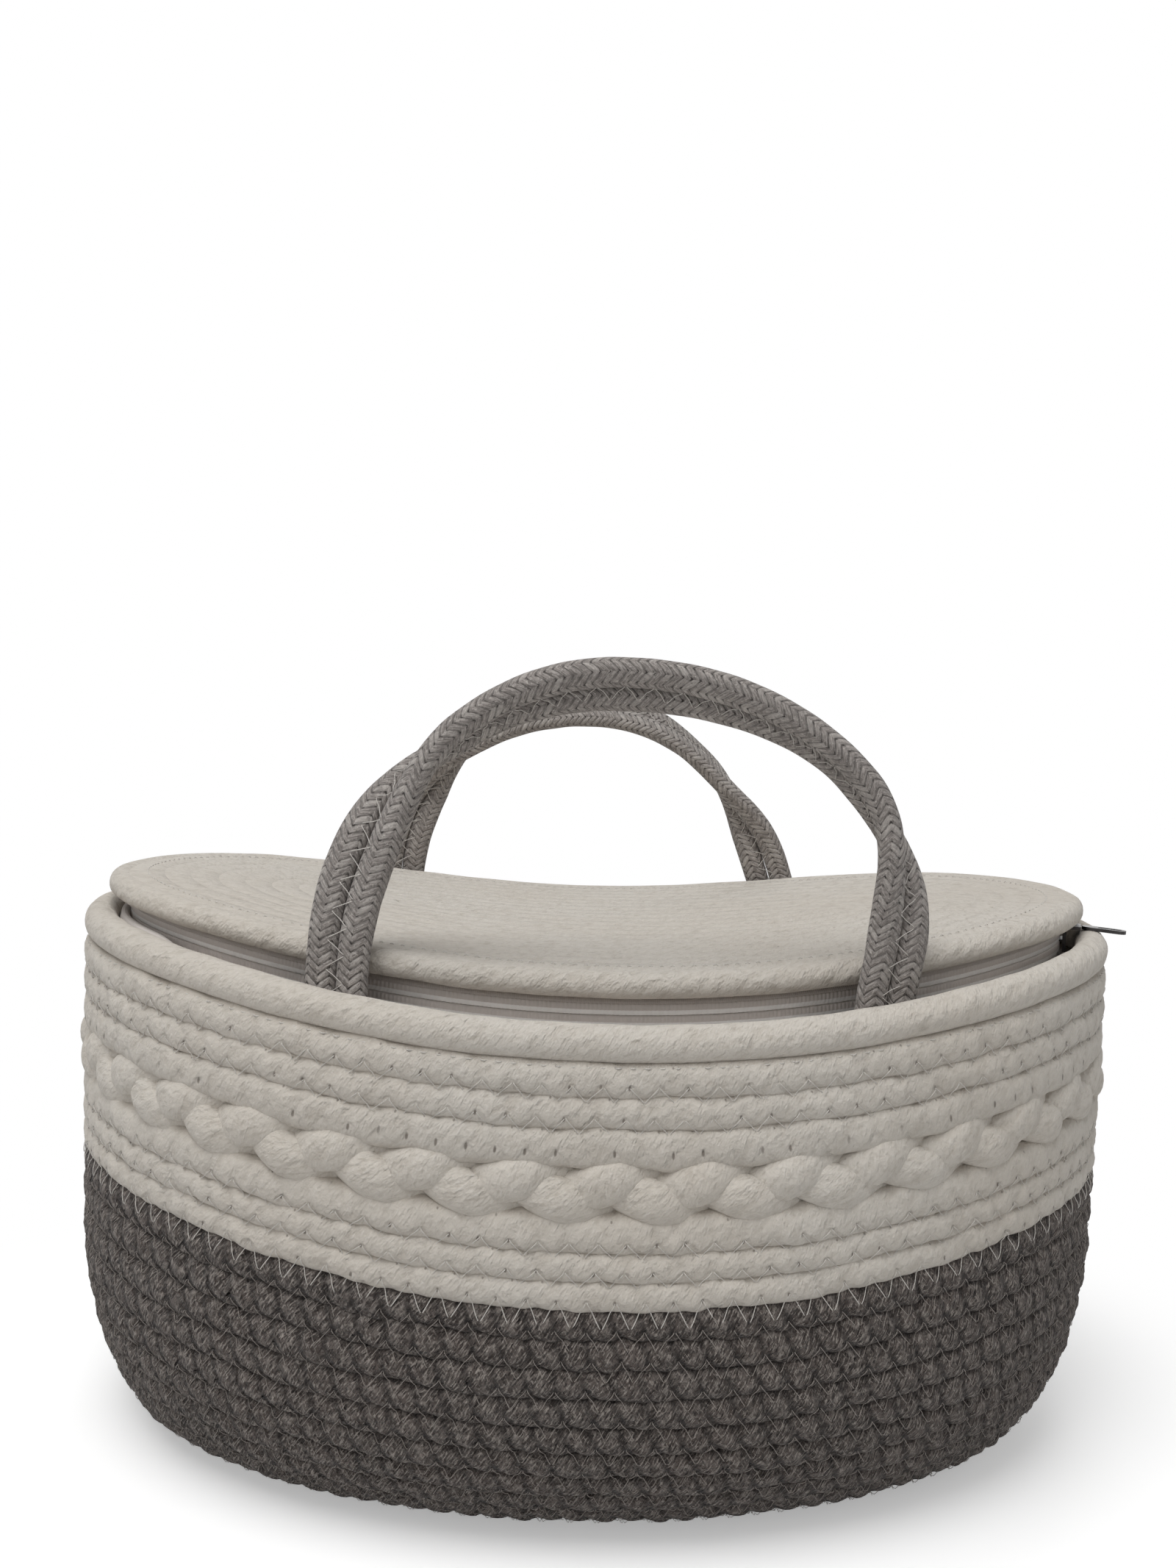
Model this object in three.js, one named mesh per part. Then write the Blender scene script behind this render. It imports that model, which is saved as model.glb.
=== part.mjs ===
import * as THREE from 'three';

// Diaper caddy: an oval basket of coiled cotton rope with a coiled lid, a zip round three sides
// and two rope handles. Millimetres, +Z up, front at -Y, origin at the middle of the underside.

// Overall size of the coiled wall
const LENGTH = 370;
const WIDTH = 250;

// Rope rows of the wall, measured up the wall at the middle of the front
const ROPE_GAP = 0.7;
const BASE_ROPE = 8.4;
const BASE_PITCH = 8.9;
const BASE_TURNS = 9;
const WALL_ROPE = 9;
const GREY_PITCH = 8.95;
const GREY_TURNS = 11;
const LOWER_IVORY_PITCH = 8.6;
const LOWER_IVORY_TURNS = 3;
const UPPER_IVORY_PITCH = 9.4;
const UPPER_IVORY_TURNS = 3;
const RIM_ROPE = 11;
const RIM_TAIL = 0.3;
const COIL_STEPS = 24;
const JOG_STEPS = 2;
const COIL_START = 150;
const BUTT_GAP = 0.1;

// How the wall rounds under to the base, and how its rows dip at the middle of the long sides
const ROUND_HEIGHT = 60;
const ROUND_INSET_ENDS = 30;
const ROUND_INSET_SIDES = 40;
const DIP = 18;

// Fullness of the oval outlines: 1 is an ellipse, and below 1 the sides grow straighter
const FOOT_FULLNESS = 1;
const RIM_FULLNESS = 0.3;
const LID_FULLNESS = 0.5;
const CORE_FULLNESS = 0.28;

// Plait between the ivory rows
const PLAIT_HEIGHT = 18.6;
const PLAIT_REPEATS = 12;
const PLAIT_STEPS = 12;
const PLAIT_END = 0.001;
const EVEN_PARTS = 120;
const STRAND_HEIGHT = 6.4;
const STRAND_DEPTH = 4.8;
const PLAIT_WEAVE = 3.5;
const PLAIT_SWING = (PLAIT_HEIGHT - STRAND_HEIGHT) / 2 - ROPE_GAP;

// Lid, which ends short of the rim at the ends and of the handles at the sides
const LID_INSET = 7;
const LID_CLEAR = 0.3;
const LID_ROPE = 8;
const LID_EDGE_ROPE = 8.4;
const LID_TURNS = 10;
const LID_LIFT = 7.8;
const LID_DIP = 17;
const CORE_GAP = 0.8;

// Zip, inside the lid's edge, and the cloth hinge that closes its line at the back
const ZIP_INSET = 8.5;
const CHAIN_HEIGHT = 3;
const CHAIN_DEPTH = 2.6;
const CHAIN_GAP = 1.6;
const TAPE = 1.2;
const TAPE_FLANGE = 12;
const TAPE_DROP = 28;
const TAPE_SEAM = 12;
const ZIP_STEPS = 60;
const ZIP_END = 112;
const HINGE_END = 108.5;
const STOP_SPAN = 1.8;
const SEAT = 0.3;
const LID_SEAT = 0.8;
const CHORD_ROOM = 1.6;

// Zip slider and its pull
const SLIDER_TURN = -22;
const SLIDER_SPAN = 9;
const SLIDER_WALL = 1.2;
const SLIDER_PLAY = 0.8;
const SLIDER_WEB = 0.6;
const SLIDER_LIP = 0.4;
const LUG_REACH = 4.8;
const LUG = 1.2;
const LUG_DROP = 0.8;
const PULL_LENGTH = 15;
const PULL_WIDTH = 5;
const PULL_THICKNESS = 1.2;
const PULL_SLOT_LENGTH = 8;
const PULL_SLOT_WIDTH = 2;
const PULL_DROOP = 3;

// Handles: two ropes side by side, sewn together, their ends held inside the rim
const HANDLE_ROPE = 10.3;
const HANDLE_DEPTH = 8;
const HANDLE_SPAN = 167;
const HANDLE_RISE = 100;
const REAR_HANDLE_DROP = 8;
const FRONT_BULGE = 9;
const FRONT_LEAN = 6;
const REAR_BULGE = 0;
const REAR_LEAN = -5;
const HANDLE_STEPS = 20;
const HANDLE_TUCK = 16;
const HANDLE_FREE = 8;
const HANDLE_SINK = 1;
const TWIST_SHARE = 0.35;

const IVORY = new THREE.MeshStandardMaterial({ color: 0xc9c5ba, roughness: 0.95, metalness: 0 });
const GREY = new THREE.MeshStandardMaterial({ color: 0x77716b, roughness: 0.95, metalness: 0 });
const HANDLE_GREY = new THREE.MeshStandardMaterial({ color: 0x8f8780, roughness: 0.95, metalness: 0 });
const TAPE_WHITE = new THREE.MeshStandardMaterial({ color: 0xc4c2bd, roughness: 0.8, metalness: 0 });
const COIL_WHITE = new THREE.MeshStandardMaterial({ color: 0xd8d6d2, roughness: 0.5, metalness: 0 });
const GUNMETAL = new THREE.MeshStandardMaterial({ color: 0x4a4a4c, roughness: 0.35, metalness: 0.9 });

const caddy = new THREE.Group();
const radians = THREE.MathUtils.degToRad;
const up = new THREE.Vector3(0, 0, 1);

function addMesh(name, geometry, material, parent = caddy) {
  const mesh = new THREE.Mesh(geometry, material);
  mesh.name = name;
  parent.add(mesh);
  return mesh;
}

// One closed body through a row of sections with the same number of points, capped unless it is a ring
function sweep(sections, ring = false) {
  const sides = sections[0].length;
  const points = sections.flat();
  const faces = [];
  const joins = ring ? sections.length : sections.length - 1;
  for (let i = 0; i < joins; i++) {
    const here = i * sides;
    const next = ((i + 1) % sections.length) * sides;
    for (let k = 0; k < sides; k++) {
      const l = (k + 1) % sides;
      faces.push(here + k, next + k, next + l, here + k, next + l, here + l);
    }
  }
  if (!ring) {
    const last = (sections.length - 1) * sides;
    for (let k = 1; k < sides - 1; k++) {
      faces.push(0, k, k + 1, last, last + k + 1, last + k);
    }
  }
  let volume = 0;
  for (let f = 0; f < faces.length; f += 3) {
    const [a, b, c] = [points[faces[f]], points[faces[f + 1]], points[faces[f + 2]]];
    volume += a.dot(b.clone().cross(c));
  }
  const geometry = new THREE.BufferGeometry();
  geometry.setAttribute('position', new THREE.Float32BufferAttribute(points.flatMap((p) => p.toArray()), 3));
  geometry.setIndex(volume < 0 ? faces.reverse() : faces);
  return geometry;
}

// Oval outline
function oval(angle, halfLength, halfWidth, fullness = 1) {
  const turn = Math.cos(angle);
  const straight = (halfLength - halfWidth) * Math.sign(turn) * Math.abs(turn) ** fullness;
  return new THREE.Vector3(straight + halfWidth * turn, halfWidth * Math.sin(angle), 0);
}

function smooth(value) {
  const t = THREE.MathUtils.clamp(value, 0, 1);
  return t * t * (3 - 2 * t);
}

// How far the rows have risen out of their dip, from 0 at the middle of a long side to 1 at the ends
function outOfDip(x) {
  const share = Math.min(Math.abs(x) / (LENGTH / 2), 1);
  return 1 - (1 - share * share) ** 2;
}

// The surface that the rope centres follow: from the middle of the base (negative) up the wall
const BASE_Z = BASE_ROPE / 2;
const BASE_REACH = BASE_PITCH * BASE_TURNS;
const ROUND_POINTS = roundPoints();

function roundPoints() {
  const points = [{ run: 0, climb: 0, inset: 1 }];
  const count = 60;
  for (let i = 1; i <= count; i++) {
    const angle = (i / count) * Math.PI / 2;
    const climb = ROUND_HEIGHT * (1 - Math.cos(angle));
    const inset = 1 - Math.sin(angle);
    const last = points[i - 1];
    const across = ROUND_INSET_SIDES * (last.inset - inset);
    points.push({ run: last.run + Math.hypot(climb - last.climb, across), climb, inset });
  }
  return points;
}

const ROUND_RUN = ROUND_POINTS[ROUND_POINTS.length - 1].run;
const GREY_TOP = GREY_PITCH * GREY_TURNS;
const DIP_CLIMB = ROUND_HEIGHT + GREY_TOP - ROUND_RUN;
const PLAIT_FOOT = GREY_TOP + LOWER_IVORY_PITCH * LOWER_IVORY_TURNS;
const PLAIT_TOP = PLAIT_FOOT + PLAIT_HEIGHT;
const RIM_FOOT = PLAIT_TOP + UPPER_IVORY_PITCH * UPPER_IVORY_TURNS;

function wallProfile(run) {
  if (run >= ROUND_RUN) {
    return { inset: 0, climb: ROUND_HEIGHT + run - ROUND_RUN };
  }
  const next = ROUND_POINTS.findIndex((point) => point.run > run);
  const [a, b] = [ROUND_POINTS[next - 1], ROUND_POINTS[next]];
  const t = (run - a.run) / (b.run - a.run);
  return {
    inset: THREE.MathUtils.lerp(a.inset, b.inset, t),
    climb: THREE.MathUtils.lerp(a.climb, b.climb, t),
  };
}

function coilPoint(angle, run) {
  const halfLength = (LENGTH - WALL_ROPE) / 2;
  const halfWidth = (WIDTH - WALL_ROPE) / 2;
  if (run < 0) {
    const fullness = THREE.MathUtils.lerp(FOOT_FULLNESS, CORE_FULLNESS, smooth(-run / BASE_REACH));
    const point = oval(angle, halfLength - ROUND_INSET_ENDS + run, halfWidth - ROUND_INSET_SIDES + run, fullness);
    point.z = BASE_Z;
    return point;
  }
  const { inset, climb } = wallProfile(run);
  const fullness = THREE.MathUtils.lerp(FOOT_FULLNESS, RIM_FULLNESS, smooth(run / RIM_FOOT));
  const point = oval(angle, halfLength - ROUND_INSET_ENDS * inset, halfWidth - ROUND_INSET_SIDES * inset, fullness);
  const lift = DIP * Math.min(climb / DIP_CLIMB, 1) * outOfDip(point.x);
  point.z = BASE_Z + climb + lift;
  return point;
}

// Directions at a point of a rope surface: along the row, across to the next row, and out of the surface
function frameAt(surface, angle, run) {
  const along = surface(angle + 0.01, run).sub(surface(angle - 0.01, run)).normalize();
  const across = surface(angle, run + 0.5).sub(surface(angle, run - 0.5));
  across.addScaledVector(along, -across.dot(along)).normalize();
  const out = along.clone().cross(across).normalize();
  return { point: surface(angle, run), along, across, out };
}

function placed(frame, outline) {
  return outline.map(([out, across]) => frame.point.clone()
    .addScaledVector(frame.out, out)
    .addScaledVector(frame.across, across));
}

// Rope outlines: six sides with flats against the next row, or five with a flat underside
const roundRope = (deep, high, low = high) => [[deep, 0], [deep * 0.55, high], [-deep * 0.55, high],
  [-deep, 0], [-deep * 0.55, -low], [deep * 0.55, -low]];
const flatRope = (deep, high, low) => [[deep, high * 0.6], [0, high], [-deep, 0], [0, -low], [deep, -low * 0.6]];

// Angle of a step of a coil, whose two ends draw back a little from the rope that they butt against
function coilAngle(step, last = 0) {
  const drawnBack = (step === 0 ? BUTT_GAP : 0) - (step === last ? BUTT_GAP : 0);
  return radians(COIL_START + (step / COIL_STEPS) * 360 + drawnBack);
}

// One unbroken rope wound on a surface: each turn keeps its row and steps up in its last stretch
function windRope(surface, start, pitch, turns, rope, outline, stopBefore = 0) {
  const sections = [];
  const rows = [];
  for (let i = 0; i <= turns * COIL_STEPS - stopBefore; i++) {
    const turn = Math.min(Math.floor(i / COIL_STEPS), turns - 1);
    const jog = smooth((i - turn * COIL_STEPS - (COIL_STEPS - JOG_STEPS)) / JOG_STEPS);
    const run = start + pitch * (turn + 0.5 + jog);
    const frame = frameAt(surface, coilAngle(i, turns * COIL_STEPS), run);
    const [high, low] = [1, -1].map((way) => {
      const edge = surface(coilAngle(i, turns * COIL_STEPS), run + way * pitch / 2).sub(frame.point);
      return way * edge.dot(frame.across) - ROPE_GAP / 2;
    });
    sections.push(placed(frame, outline(rope / 2, high, low)));
    rows.push(frame.point.clone().addScaledVector(frame.across, high), frame.point.clone()
      .addScaledVector(frame.across, -low));
  }
  return { geometry: sweep(sections), gap: turns > 1 ? leastGap(rows) : Infinity };
}

// Least gap of a rope to itself, from the top of each row to the underside of the row above it
function leastGap(rows) {
  let least = Infinity;
  for (let i = 0; i + 2 * COIL_STEPS + 1 < rows.length; i += 2) {
    least = Math.min(least, rows[i].distanceTo(rows[i + 2 * COIL_STEPS + 1]));
  }
  return least;
}

const base = windRope(coilPoint, -BASE_REACH, BASE_PITCH, BASE_TURNS, BASE_ROPE, flatRope);
addMesh('base_coil', base.geometry, GREY);
const grey = windRope(coilPoint, 0, GREY_PITCH, GREY_TURNS, WALL_ROPE, roundRope);
addMesh('grey_wall_coil', grey.geometry, GREY);
const lower = windRope(coilPoint, GREY_TOP, LOWER_IVORY_PITCH, LOWER_IVORY_TURNS, WALL_ROPE, roundRope);
addMesh('lower_ivory_coil', lower.geometry, IVORY);
const upper = windRope(coilPoint, PLAIT_TOP, UPPER_IVORY_PITCH, UPPER_IVORY_TURNS, WALL_ROPE, roundRope);
addMesh('upper_ivory_coil', upper.geometry, IVORY);

// Step that the rows take up at the end of a turn, where the coil starts and ends
function jogAt(share) {
  return smooth((share * COIL_STEPS - (COIL_STEPS - JOG_STEPS)) / JOG_STEPS);
}

// Angles that part one turn of the wall, from the coil's start on, into even lengths
function evenAngles(run, count) {
  const start = radians(COIL_START);
  const angles = [start, start + 2 * Math.PI];
  for (let i = 0; i <= EVEN_PARTS; i++) {
    const near = Math.asin((i / EVEN_PARTS) ** (1 / RIM_FULLNESS));
    for (const bend of [Math.PI / 2, Math.PI * 3 / 2]) {
      angles.push(...[bend + near, bend - near].map((angle) => (angle < start ? angle + 2 * Math.PI : angle)));
    }
  }
  angles.sort((a, b) => a - b);
  const lengths = [0];
  for (let i = 1; i < angles.length; i++) {
    const step = coilPoint(angles[i], run).distanceTo(coilPoint(angles[i - 1], run));
    lengths.push(lengths[i - 1] + step);
  }
  const whole = lengths[lengths.length - 1];
  return Array.from({ length: count + 1 }, (_, i) => {
    const length = THREE.MathUtils.lerp(PLAIT_END, 1 - PLAIT_END, i / count) * whole;
    const next = lengths.findIndex((reached) => reached > length);
    const share = (length - lengths[next - 1]) / (lengths[next] - lengths[next - 1]);
    return THREE.MathUtils.lerp(angles[next - 1], angles[next], share);
  });
}

// Three strands plaited round the wall, each weaving in and out as it swings up and down
const PLAIT_MIDDLE = PLAIT_FOOT + PLAIT_HEIGHT / 2;
const plaitAngles = evenAngles(PLAIT_MIDDLE, PLAIT_REPEATS * PLAIT_STEPS);
for (let strand = 0; strand < 3; strand++) {
  const sections = plaitAngles.map((angle, i) => {
    const phase = (i / PLAIT_STEPS) * 2 * Math.PI + strand * 2 * Math.PI / 3;
    const run = PLAIT_MIDDLE + LOWER_IVORY_PITCH * jogAt((angle - radians(COIL_START)) / (2 * Math.PI));
    const frame = frameAt(coilPoint, angle, run);
    frame.point.addScaledVector(frame.across, PLAIT_SWING * Math.sin(phase));
    frame.point.addScaledVector(frame.out, PLAIT_WEAVE * Math.sin(2 * phase));
    const [deep, high] = [STRAND_DEPTH / 2, STRAND_HEIGHT / 2];
    return placed(frame, [[deep, 0], [0, high], [-deep, 0], [0, -high]]);
  });
  addMesh(`braid_strand_${strand + 1}`, sweep(sections), IVORY);
}

// Rim: one turn of thicker rope, its tail tapered down where the coil ends
function rimRope() {
  const sections = [];
  for (let i = 0; i <= COIL_STEPS; i++) {
    const jog = smooth((i - (COIL_STEPS - JOG_STEPS)) / JOG_STEPS);
    const size = THREE.MathUtils.lerp(1, RIM_TAIL, jog);
    const run = RIM_FOOT + UPPER_IVORY_PITCH * jog + size * RIM_ROPE / 2;
    const frame = frameAt(coilPoint, coilAngle(i, COIL_STEPS), run);
    frame.point.addScaledVector(frame.out, -(RIM_ROPE - WALL_ROPE) / 2 * size);
    const radius = size * RIM_ROPE / 2;
    sections.push(placed(frame, roundRope(radius, radius - ROPE_GAP / 2)));
  }
  return sweep(sections);
}

addMesh('rim_rope', rimRope(), IVORY);
const rimTop = (x) => BASE_Z + ROUND_HEIGHT + RIM_FOOT - ROUND_RUN + RIM_ROPE + DIP * outOfDip(x);
const RIM_Z = rimTop(0);

// Seat of a handle's end against the inside of the rim
const rimSeat = rimChord(HANDLE_SPAN / 2);
const TWIST = Math.atan(rimSeat.slope);
const HANDLE_Y = rimSeat.y - (RIM_ROPE / 2 + ROPE_GAP + HANDLE_DEPTH / 2) / Math.cos(TWIST);
const HANDLE_FOOT = RIM_Z - HANDLE_SINK;

// Where the straight stretch of rim rope beside a handle lies, and how it slants
function rimChord(x) {
  const rimCentre = (step) => coilPoint(Math.PI / 2 - (step / COIL_STEPS) * 2 * Math.PI, RIM_FOOT + RIM_ROPE / 2);
  let step = 0;
  while (rimCentre(step + 1).x < x) {
    step += 1;
  }
  const [a, b] = [rimCentre(step), rimCentre(step + 1)];
  const slope = (a.y - b.y) / (b.x - a.x);
  return { y: a.y - slope * (x - a.x) - (RIM_ROPE - WALL_ROPE) / 2, slope };
}

// Half width of the oval that passes a point beside one of its long sides
function halfWidthThrough(x, y, halfLength, fullness) {
  const width = (turn) => y / Math.sqrt(1 - turn * turn);
  const reach = (turn) => (halfLength - width(turn)) * turn ** fullness + width(turn) * turn;
  let [low, high] = [0, x / halfLength];
  for (let i = 0; i < 40; i++) {
    const middle = (low + high) / 2;
    [low, high] = reach(middle) < x ? [middle, high] : [low, middle];
  }
  return width(low);
}

// Lid: a flat coil inside a rolled edge rope, dipping at the middle like the rim
const LID_HALF_LENGTH = LENGTH / 2 - LID_INSET;
const HANDLE_FACE = HANDLE_Y - HANDLE_DEPTH / 2 / Math.cos(TWIST);
const LID_HALF_WIDTH = halfWidthThrough(HANDLE_SPAN / 2, HANDLE_FACE - LID_CLEAR, LID_HALF_LENGTH, LID_FULLNESS);
const LID_Z = RIM_Z + LID_LIFT;
const LID_PITCH = (LID_HALF_WIDTH - LID_EDGE_ROPE - SEAT - CORE_GAP / 2) / LID_TURNS;
const lidBottom = (x) => LID_Z - LID_EDGE_ROPE / 2 + LID_DIP * outOfDip(x);

function lidPoint(angle, run) {
  const fullness = THREE.MathUtils.lerp(LID_FULLNESS, CORE_FULLNESS, smooth(-run / LID_HALF_WIDTH));
  const point = oval(angle, LID_HALF_LENGTH + run, LID_HALF_WIDTH + run, fullness);
  point.z = lidBottom(point.x) + LID_EDGE_ROPE / 2;
  return point;
}

const lidCoil = windRope(lidPoint, -LID_EDGE_ROPE - SEAT - LID_PITCH * LID_TURNS, LID_PITCH, LID_TURNS,
  LID_ROPE, flatRope, JOG_STEPS);
addMesh('lid_coil', lidCoil.geometry, IVORY);
const edgeSections = [];
for (let i = 0; i < COIL_STEPS; i++) {
  const frame = frameAt(lidPoint, coilAngle(i), -LID_EDGE_ROPE / 2);
  edgeSections.push(placed(frame, roundRope(LID_EDGE_ROPE / 2, LID_EDGE_ROPE / 2)));
}
addMesh('lid_edge_rope', sweep(edgeSections, true), IVORY);

const ZIP_HALF_LENGTH = LID_HALF_LENGTH - ZIP_INSET;
const ZIP_HALF_WIDTH = LID_HALF_WIDTH - ZIP_INSET;
const zipPoint = (angle) => oval(angle, ZIP_HALF_LENGTH, ZIP_HALF_WIDTH, LID_FULLNESS);

// A strip that follows the zip line between two angles; its outline gives out and height above the lid's underside
function zipStrip(from, to, steps, outline) {
  const sections = [];
  for (let i = 0; i <= steps; i++) {
    const angle = radians(THREE.MathUtils.lerp(from, to, i / steps));
    const point = zipPoint(angle);
    const out = zipPoint(angle + 0.01).sub(point).cross(up).normalize();
    sections.push(outline(point).map(([away, height]) => {
      const corner = point.clone().addScaledVector(out, away);
      corner.z = lidBottom(corner.x) + height;
      return corner;
    }));
  }
  return sweep(sections);
}

const box = (near, far, low, high) => [[near, low], [far, low], [far, high], [near, high]];
const FLANGE_TOP = -LID_SEAT;
const LID_CHAIN_TOP = FLANGE_TOP - TAPE - SEAT;
const LID_CHAIN_FOOT = LID_CHAIN_TOP - CHAIN_HEIGHT;
const RIM_CHAIN_TOP = LID_CHAIN_FOOT - CHAIN_GAP;
const RIM_CHAIN_FOOT = RIM_CHAIN_TOP - CHAIN_HEIGHT;
const HALF_TURN = 180;
const ZIP_TO = 3 * HALF_TURN - ZIP_END;

addMesh('lid_zip_tape', zipStrip(ZIP_END, ZIP_TO, ZIP_STEPS,
  () => box(-TAPE_FLANGE, TAPE / 2, FLANGE_TOP - TAPE, FLANGE_TOP)), TAPE_WHITE);
addMesh('lid_zip_chain', zipStrip(ZIP_END, ZIP_TO, ZIP_STEPS,
  () => box(-CHAIN_DEPTH / 2, CHAIN_DEPTH / 2, LID_CHAIN_FOOT, LID_CHAIN_TOP)), COIL_WHITE);
addMesh('rim_zip_chain', zipStrip(ZIP_END, ZIP_TO, ZIP_STEPS,
  () => box(-CHAIN_DEPTH / 2, CHAIN_DEPTH / 2, RIM_CHAIN_FOOT, RIM_CHAIN_TOP)), COIL_WHITE);

// Level distance from a point inside the rim to the rope centres of the top row
function wallDistance(point) {
  let least = Infinity;
  for (let degree = 0; degree < 360; degree += 2) {
    const wall = coilPoint(radians(degree), RIM_FOOT);
    least = Math.min(least, Math.hypot(wall.x - point.x, wall.y - point.y));
  }
  return least;
}

// Cloth below the zip line: upright under the chain, then sloping out to where it is sewn to the wall
function hangingCloth(point, top) {
  const reach = wallDistance(point) - WALL_ROPE / 2 - TAPE - CHORD_ROOM;
  const knee = RIM_CHAIN_FOOT - TAPE_SEAM;
  const foot = RIM_CHAIN_FOOT - TAPE_DROP;
  return [[-TAPE / 2, top], [-TAPE / 2, knee], [reach - TAPE / 2, foot], [reach + TAPE / 2, foot],
    [TAPE / 2, knee + TAPE / 2], [TAPE / 2, top]];
}

addMesh('rim_zip_tape', zipStrip(ZIP_END, ZIP_TO, ZIP_STEPS,
  (point) => hangingCloth(point, RIM_CHAIN_FOOT - SEAT)), TAPE_WHITE);
addMesh('hinge_tape', zipStrip(HALF_TURN - HINGE_END, HINGE_END, 8,
  (point) => hangingCloth(point, FLANGE_TOP - SEAT)), TAPE_WHITE);
for (const [side, from] of [['right', HALF_TURN - ZIP_END + SEAT], ['left', ZIP_END - SEAT - STOP_SPAN]]) {
  addMesh(`zip_stop_${side}`, zipStrip(from, from + STOP_SPAN, 1,
    () => box(-CHAIN_DEPTH / 2, CHAIN_DEPTH / 2, RIM_CHAIN_FOOT, LID_CHAIN_FOOT - SEAT)), GUNMETAL);
}

// Slider on the arc of the zip line's right end, and its pull resting over the rim
const END_RADIUS = ZIP_HALF_WIDTH ** 2 / ((ZIP_HALF_LENGTH - ZIP_HALF_WIDTH) * LID_FULLNESS + ZIP_HALF_WIDTH);
const END_CENTRE = ZIP_HALF_LENGTH - END_RADIUS;
const sliderGroup = new THREE.Group();
const sliderTurn = radians(SLIDER_TURN);
sliderGroup.position.set(END_CENTRE + END_RADIUS * Math.cos(sliderTurn), END_RADIUS * Math.sin(sliderTurn), 0);
sliderGroup.position.z = lidBottom(sliderGroup.position.x);
sliderGroup.rotation.z = sliderTurn;
caddy.add(sliderGroup);

const PLATE_NEAR = CHAIN_DEPTH / 2 + SLIDER_PLAY;
const PLATE_FAR = PLATE_NEAR + SLIDER_WALL;
const PLATE_FOOT = RIM_CHAIN_FOOT - SLIDER_LIP;
const PLATE_TOP = FLANGE_TOP - TAPE - SLIDER_LIP;
const WEB_Z = (RIM_CHAIN_TOP + LID_CHAIN_FOOT) / 2;
const LUG_END = PLATE_FAR + LUG_REACH;
const LUG_TOP = -LUG_DROP;
const LUG_FOOT = LUG_TOP - LUG;
const sliderOutline = new THREE.Shape([
  [-PLATE_FAR, PLATE_FOOT], [-PLATE_NEAR, PLATE_FOOT], [-PLATE_NEAR, WEB_Z - SLIDER_WEB / 2],
  [PLATE_NEAR, WEB_Z - SLIDER_WEB / 2], [PLATE_NEAR, PLATE_FOOT], [PLATE_FAR, PLATE_FOOT],
  [PLATE_FAR, LUG_FOOT], [LUG_END, LUG_FOOT], [LUG_END, LUG_TOP], [PLATE_NEAR, LUG_TOP],
  [PLATE_NEAR, WEB_Z + SLIDER_WEB / 2], [-PLATE_NEAR, WEB_Z + SLIDER_WEB / 2],
  [-PLATE_NEAR, PLATE_TOP], [-PLATE_FAR, PLATE_TOP],
].map(([x, y]) => new THREE.Vector2(x, y)));
const sliderBody = new THREE.ExtrudeGeometry(sliderOutline, { depth: SLIDER_SPAN, bevelEnabled: false });
sliderBody.translate(0, 0, -SLIDER_SPAN / 2);
sliderBody.rotateX(Math.PI / 2);
addMesh('zip_slider', sliderBody, GUNMETAL, sliderGroup);

function roundedBar(length, width) {
  const outline = new THREE.Shape();
  outline.absarc(length - width / 2, 0, width / 2, -Math.PI / 2, Math.PI / 2, false);
  outline.absarc(width / 2, 0, width / 2, Math.PI / 2, Math.PI * 3 / 2, false);
  return outline;
}

const pullOutline = roundedBar(PULL_LENGTH, PULL_WIDTH);
const slot = roundedBar(PULL_SLOT_LENGTH, PULL_SLOT_WIDTH);
const SLOT_START = PULL_LENGTH - PULL_SLOT_LENGTH - PULL_WIDTH / 2 + PULL_SLOT_WIDTH / 2;
pullOutline.holes.push(new THREE.Path(slot.getPoints(4).map((p) => new THREE.Vector2(p.x + SLOT_START, p.y))));
const pullBody = new THREE.ExtrudeGeometry(pullOutline,
  { depth: PULL_THICKNESS, bevelEnabled: false, curveSegments: 4 });
pullBody.translate(-PULL_THICKNESS / 2, 0, -PULL_THICKNESS / 2);
const pull = addMesh('zip_pull', pullBody, GUNMETAL, sliderGroup);
pull.position.set(LUG_END + SEAT + PULL_THICKNESS / 2, 0, (LUG_TOP + LUG_FOOT) / 2);
pull.rotation.y = radians(PULL_DROOP);

// Handles: the free arch above the rim, and the two sewn ends of each handle inside the rim
const FREE_Z = HANDLE_FOOT + HANDLE_FREE;
const ropeReach = (HANDLE_ROPE - SEAT) / 2;

// The band of two ropes is turned with the rim at its foot and faces straight forward further up.
// Its shoulders bulge outwards, and lean to one side.
function archRope({ side, rise, bulge, lean }, offset) {
  const start = Math.asin((FREE_Z - HANDLE_FOOT) / rise);
  const halfSpan = HANDLE_SPAN / 2 / Math.cos(start);
  const middle = (place) => {
    const angle = THREE.MathUtils.lerp(start, Math.PI - start, place);
    const shoulder = Math.sin(2 * Math.PI * place);
    return new THREE.Vector3(halfSpan * Math.cos(angle) + bulge * shoulder + lean * Math.abs(shoulder),
      side * HANDLE_Y, HANDLE_FOOT + rise * Math.sin(angle));
  };
  const sections = [];
  for (let i = 0; i <= HANDLE_STEPS; i++) {
    const place = i / HANDLE_STEPS;
    const hand = Math.sign(0.5 - place);
    const twist = TWIST * hand * (1 - smooth(Math.min(place, 1 - place) / TWIST_SHARE));
    const out = new THREE.Vector3(Math.sin(twist), side * Math.cos(twist), 0);
    const atEnd = i === 0 || i === HANDLE_STEPS;
    const along = atEnd ? up.clone().multiplyScalar(hand) : middle(place + 0.01).sub(middle(place - 0.01));
    const across = along.normalize().cross(out).multiplyScalar(-side).normalize();
    const point = middle(place).addScaledVector(across, offset);
    sections.push(placed({ point, out, across }, roundRope(HANDLE_DEPTH / 2, ropeReach)));
  }
  return sweep(sections);
}

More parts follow.
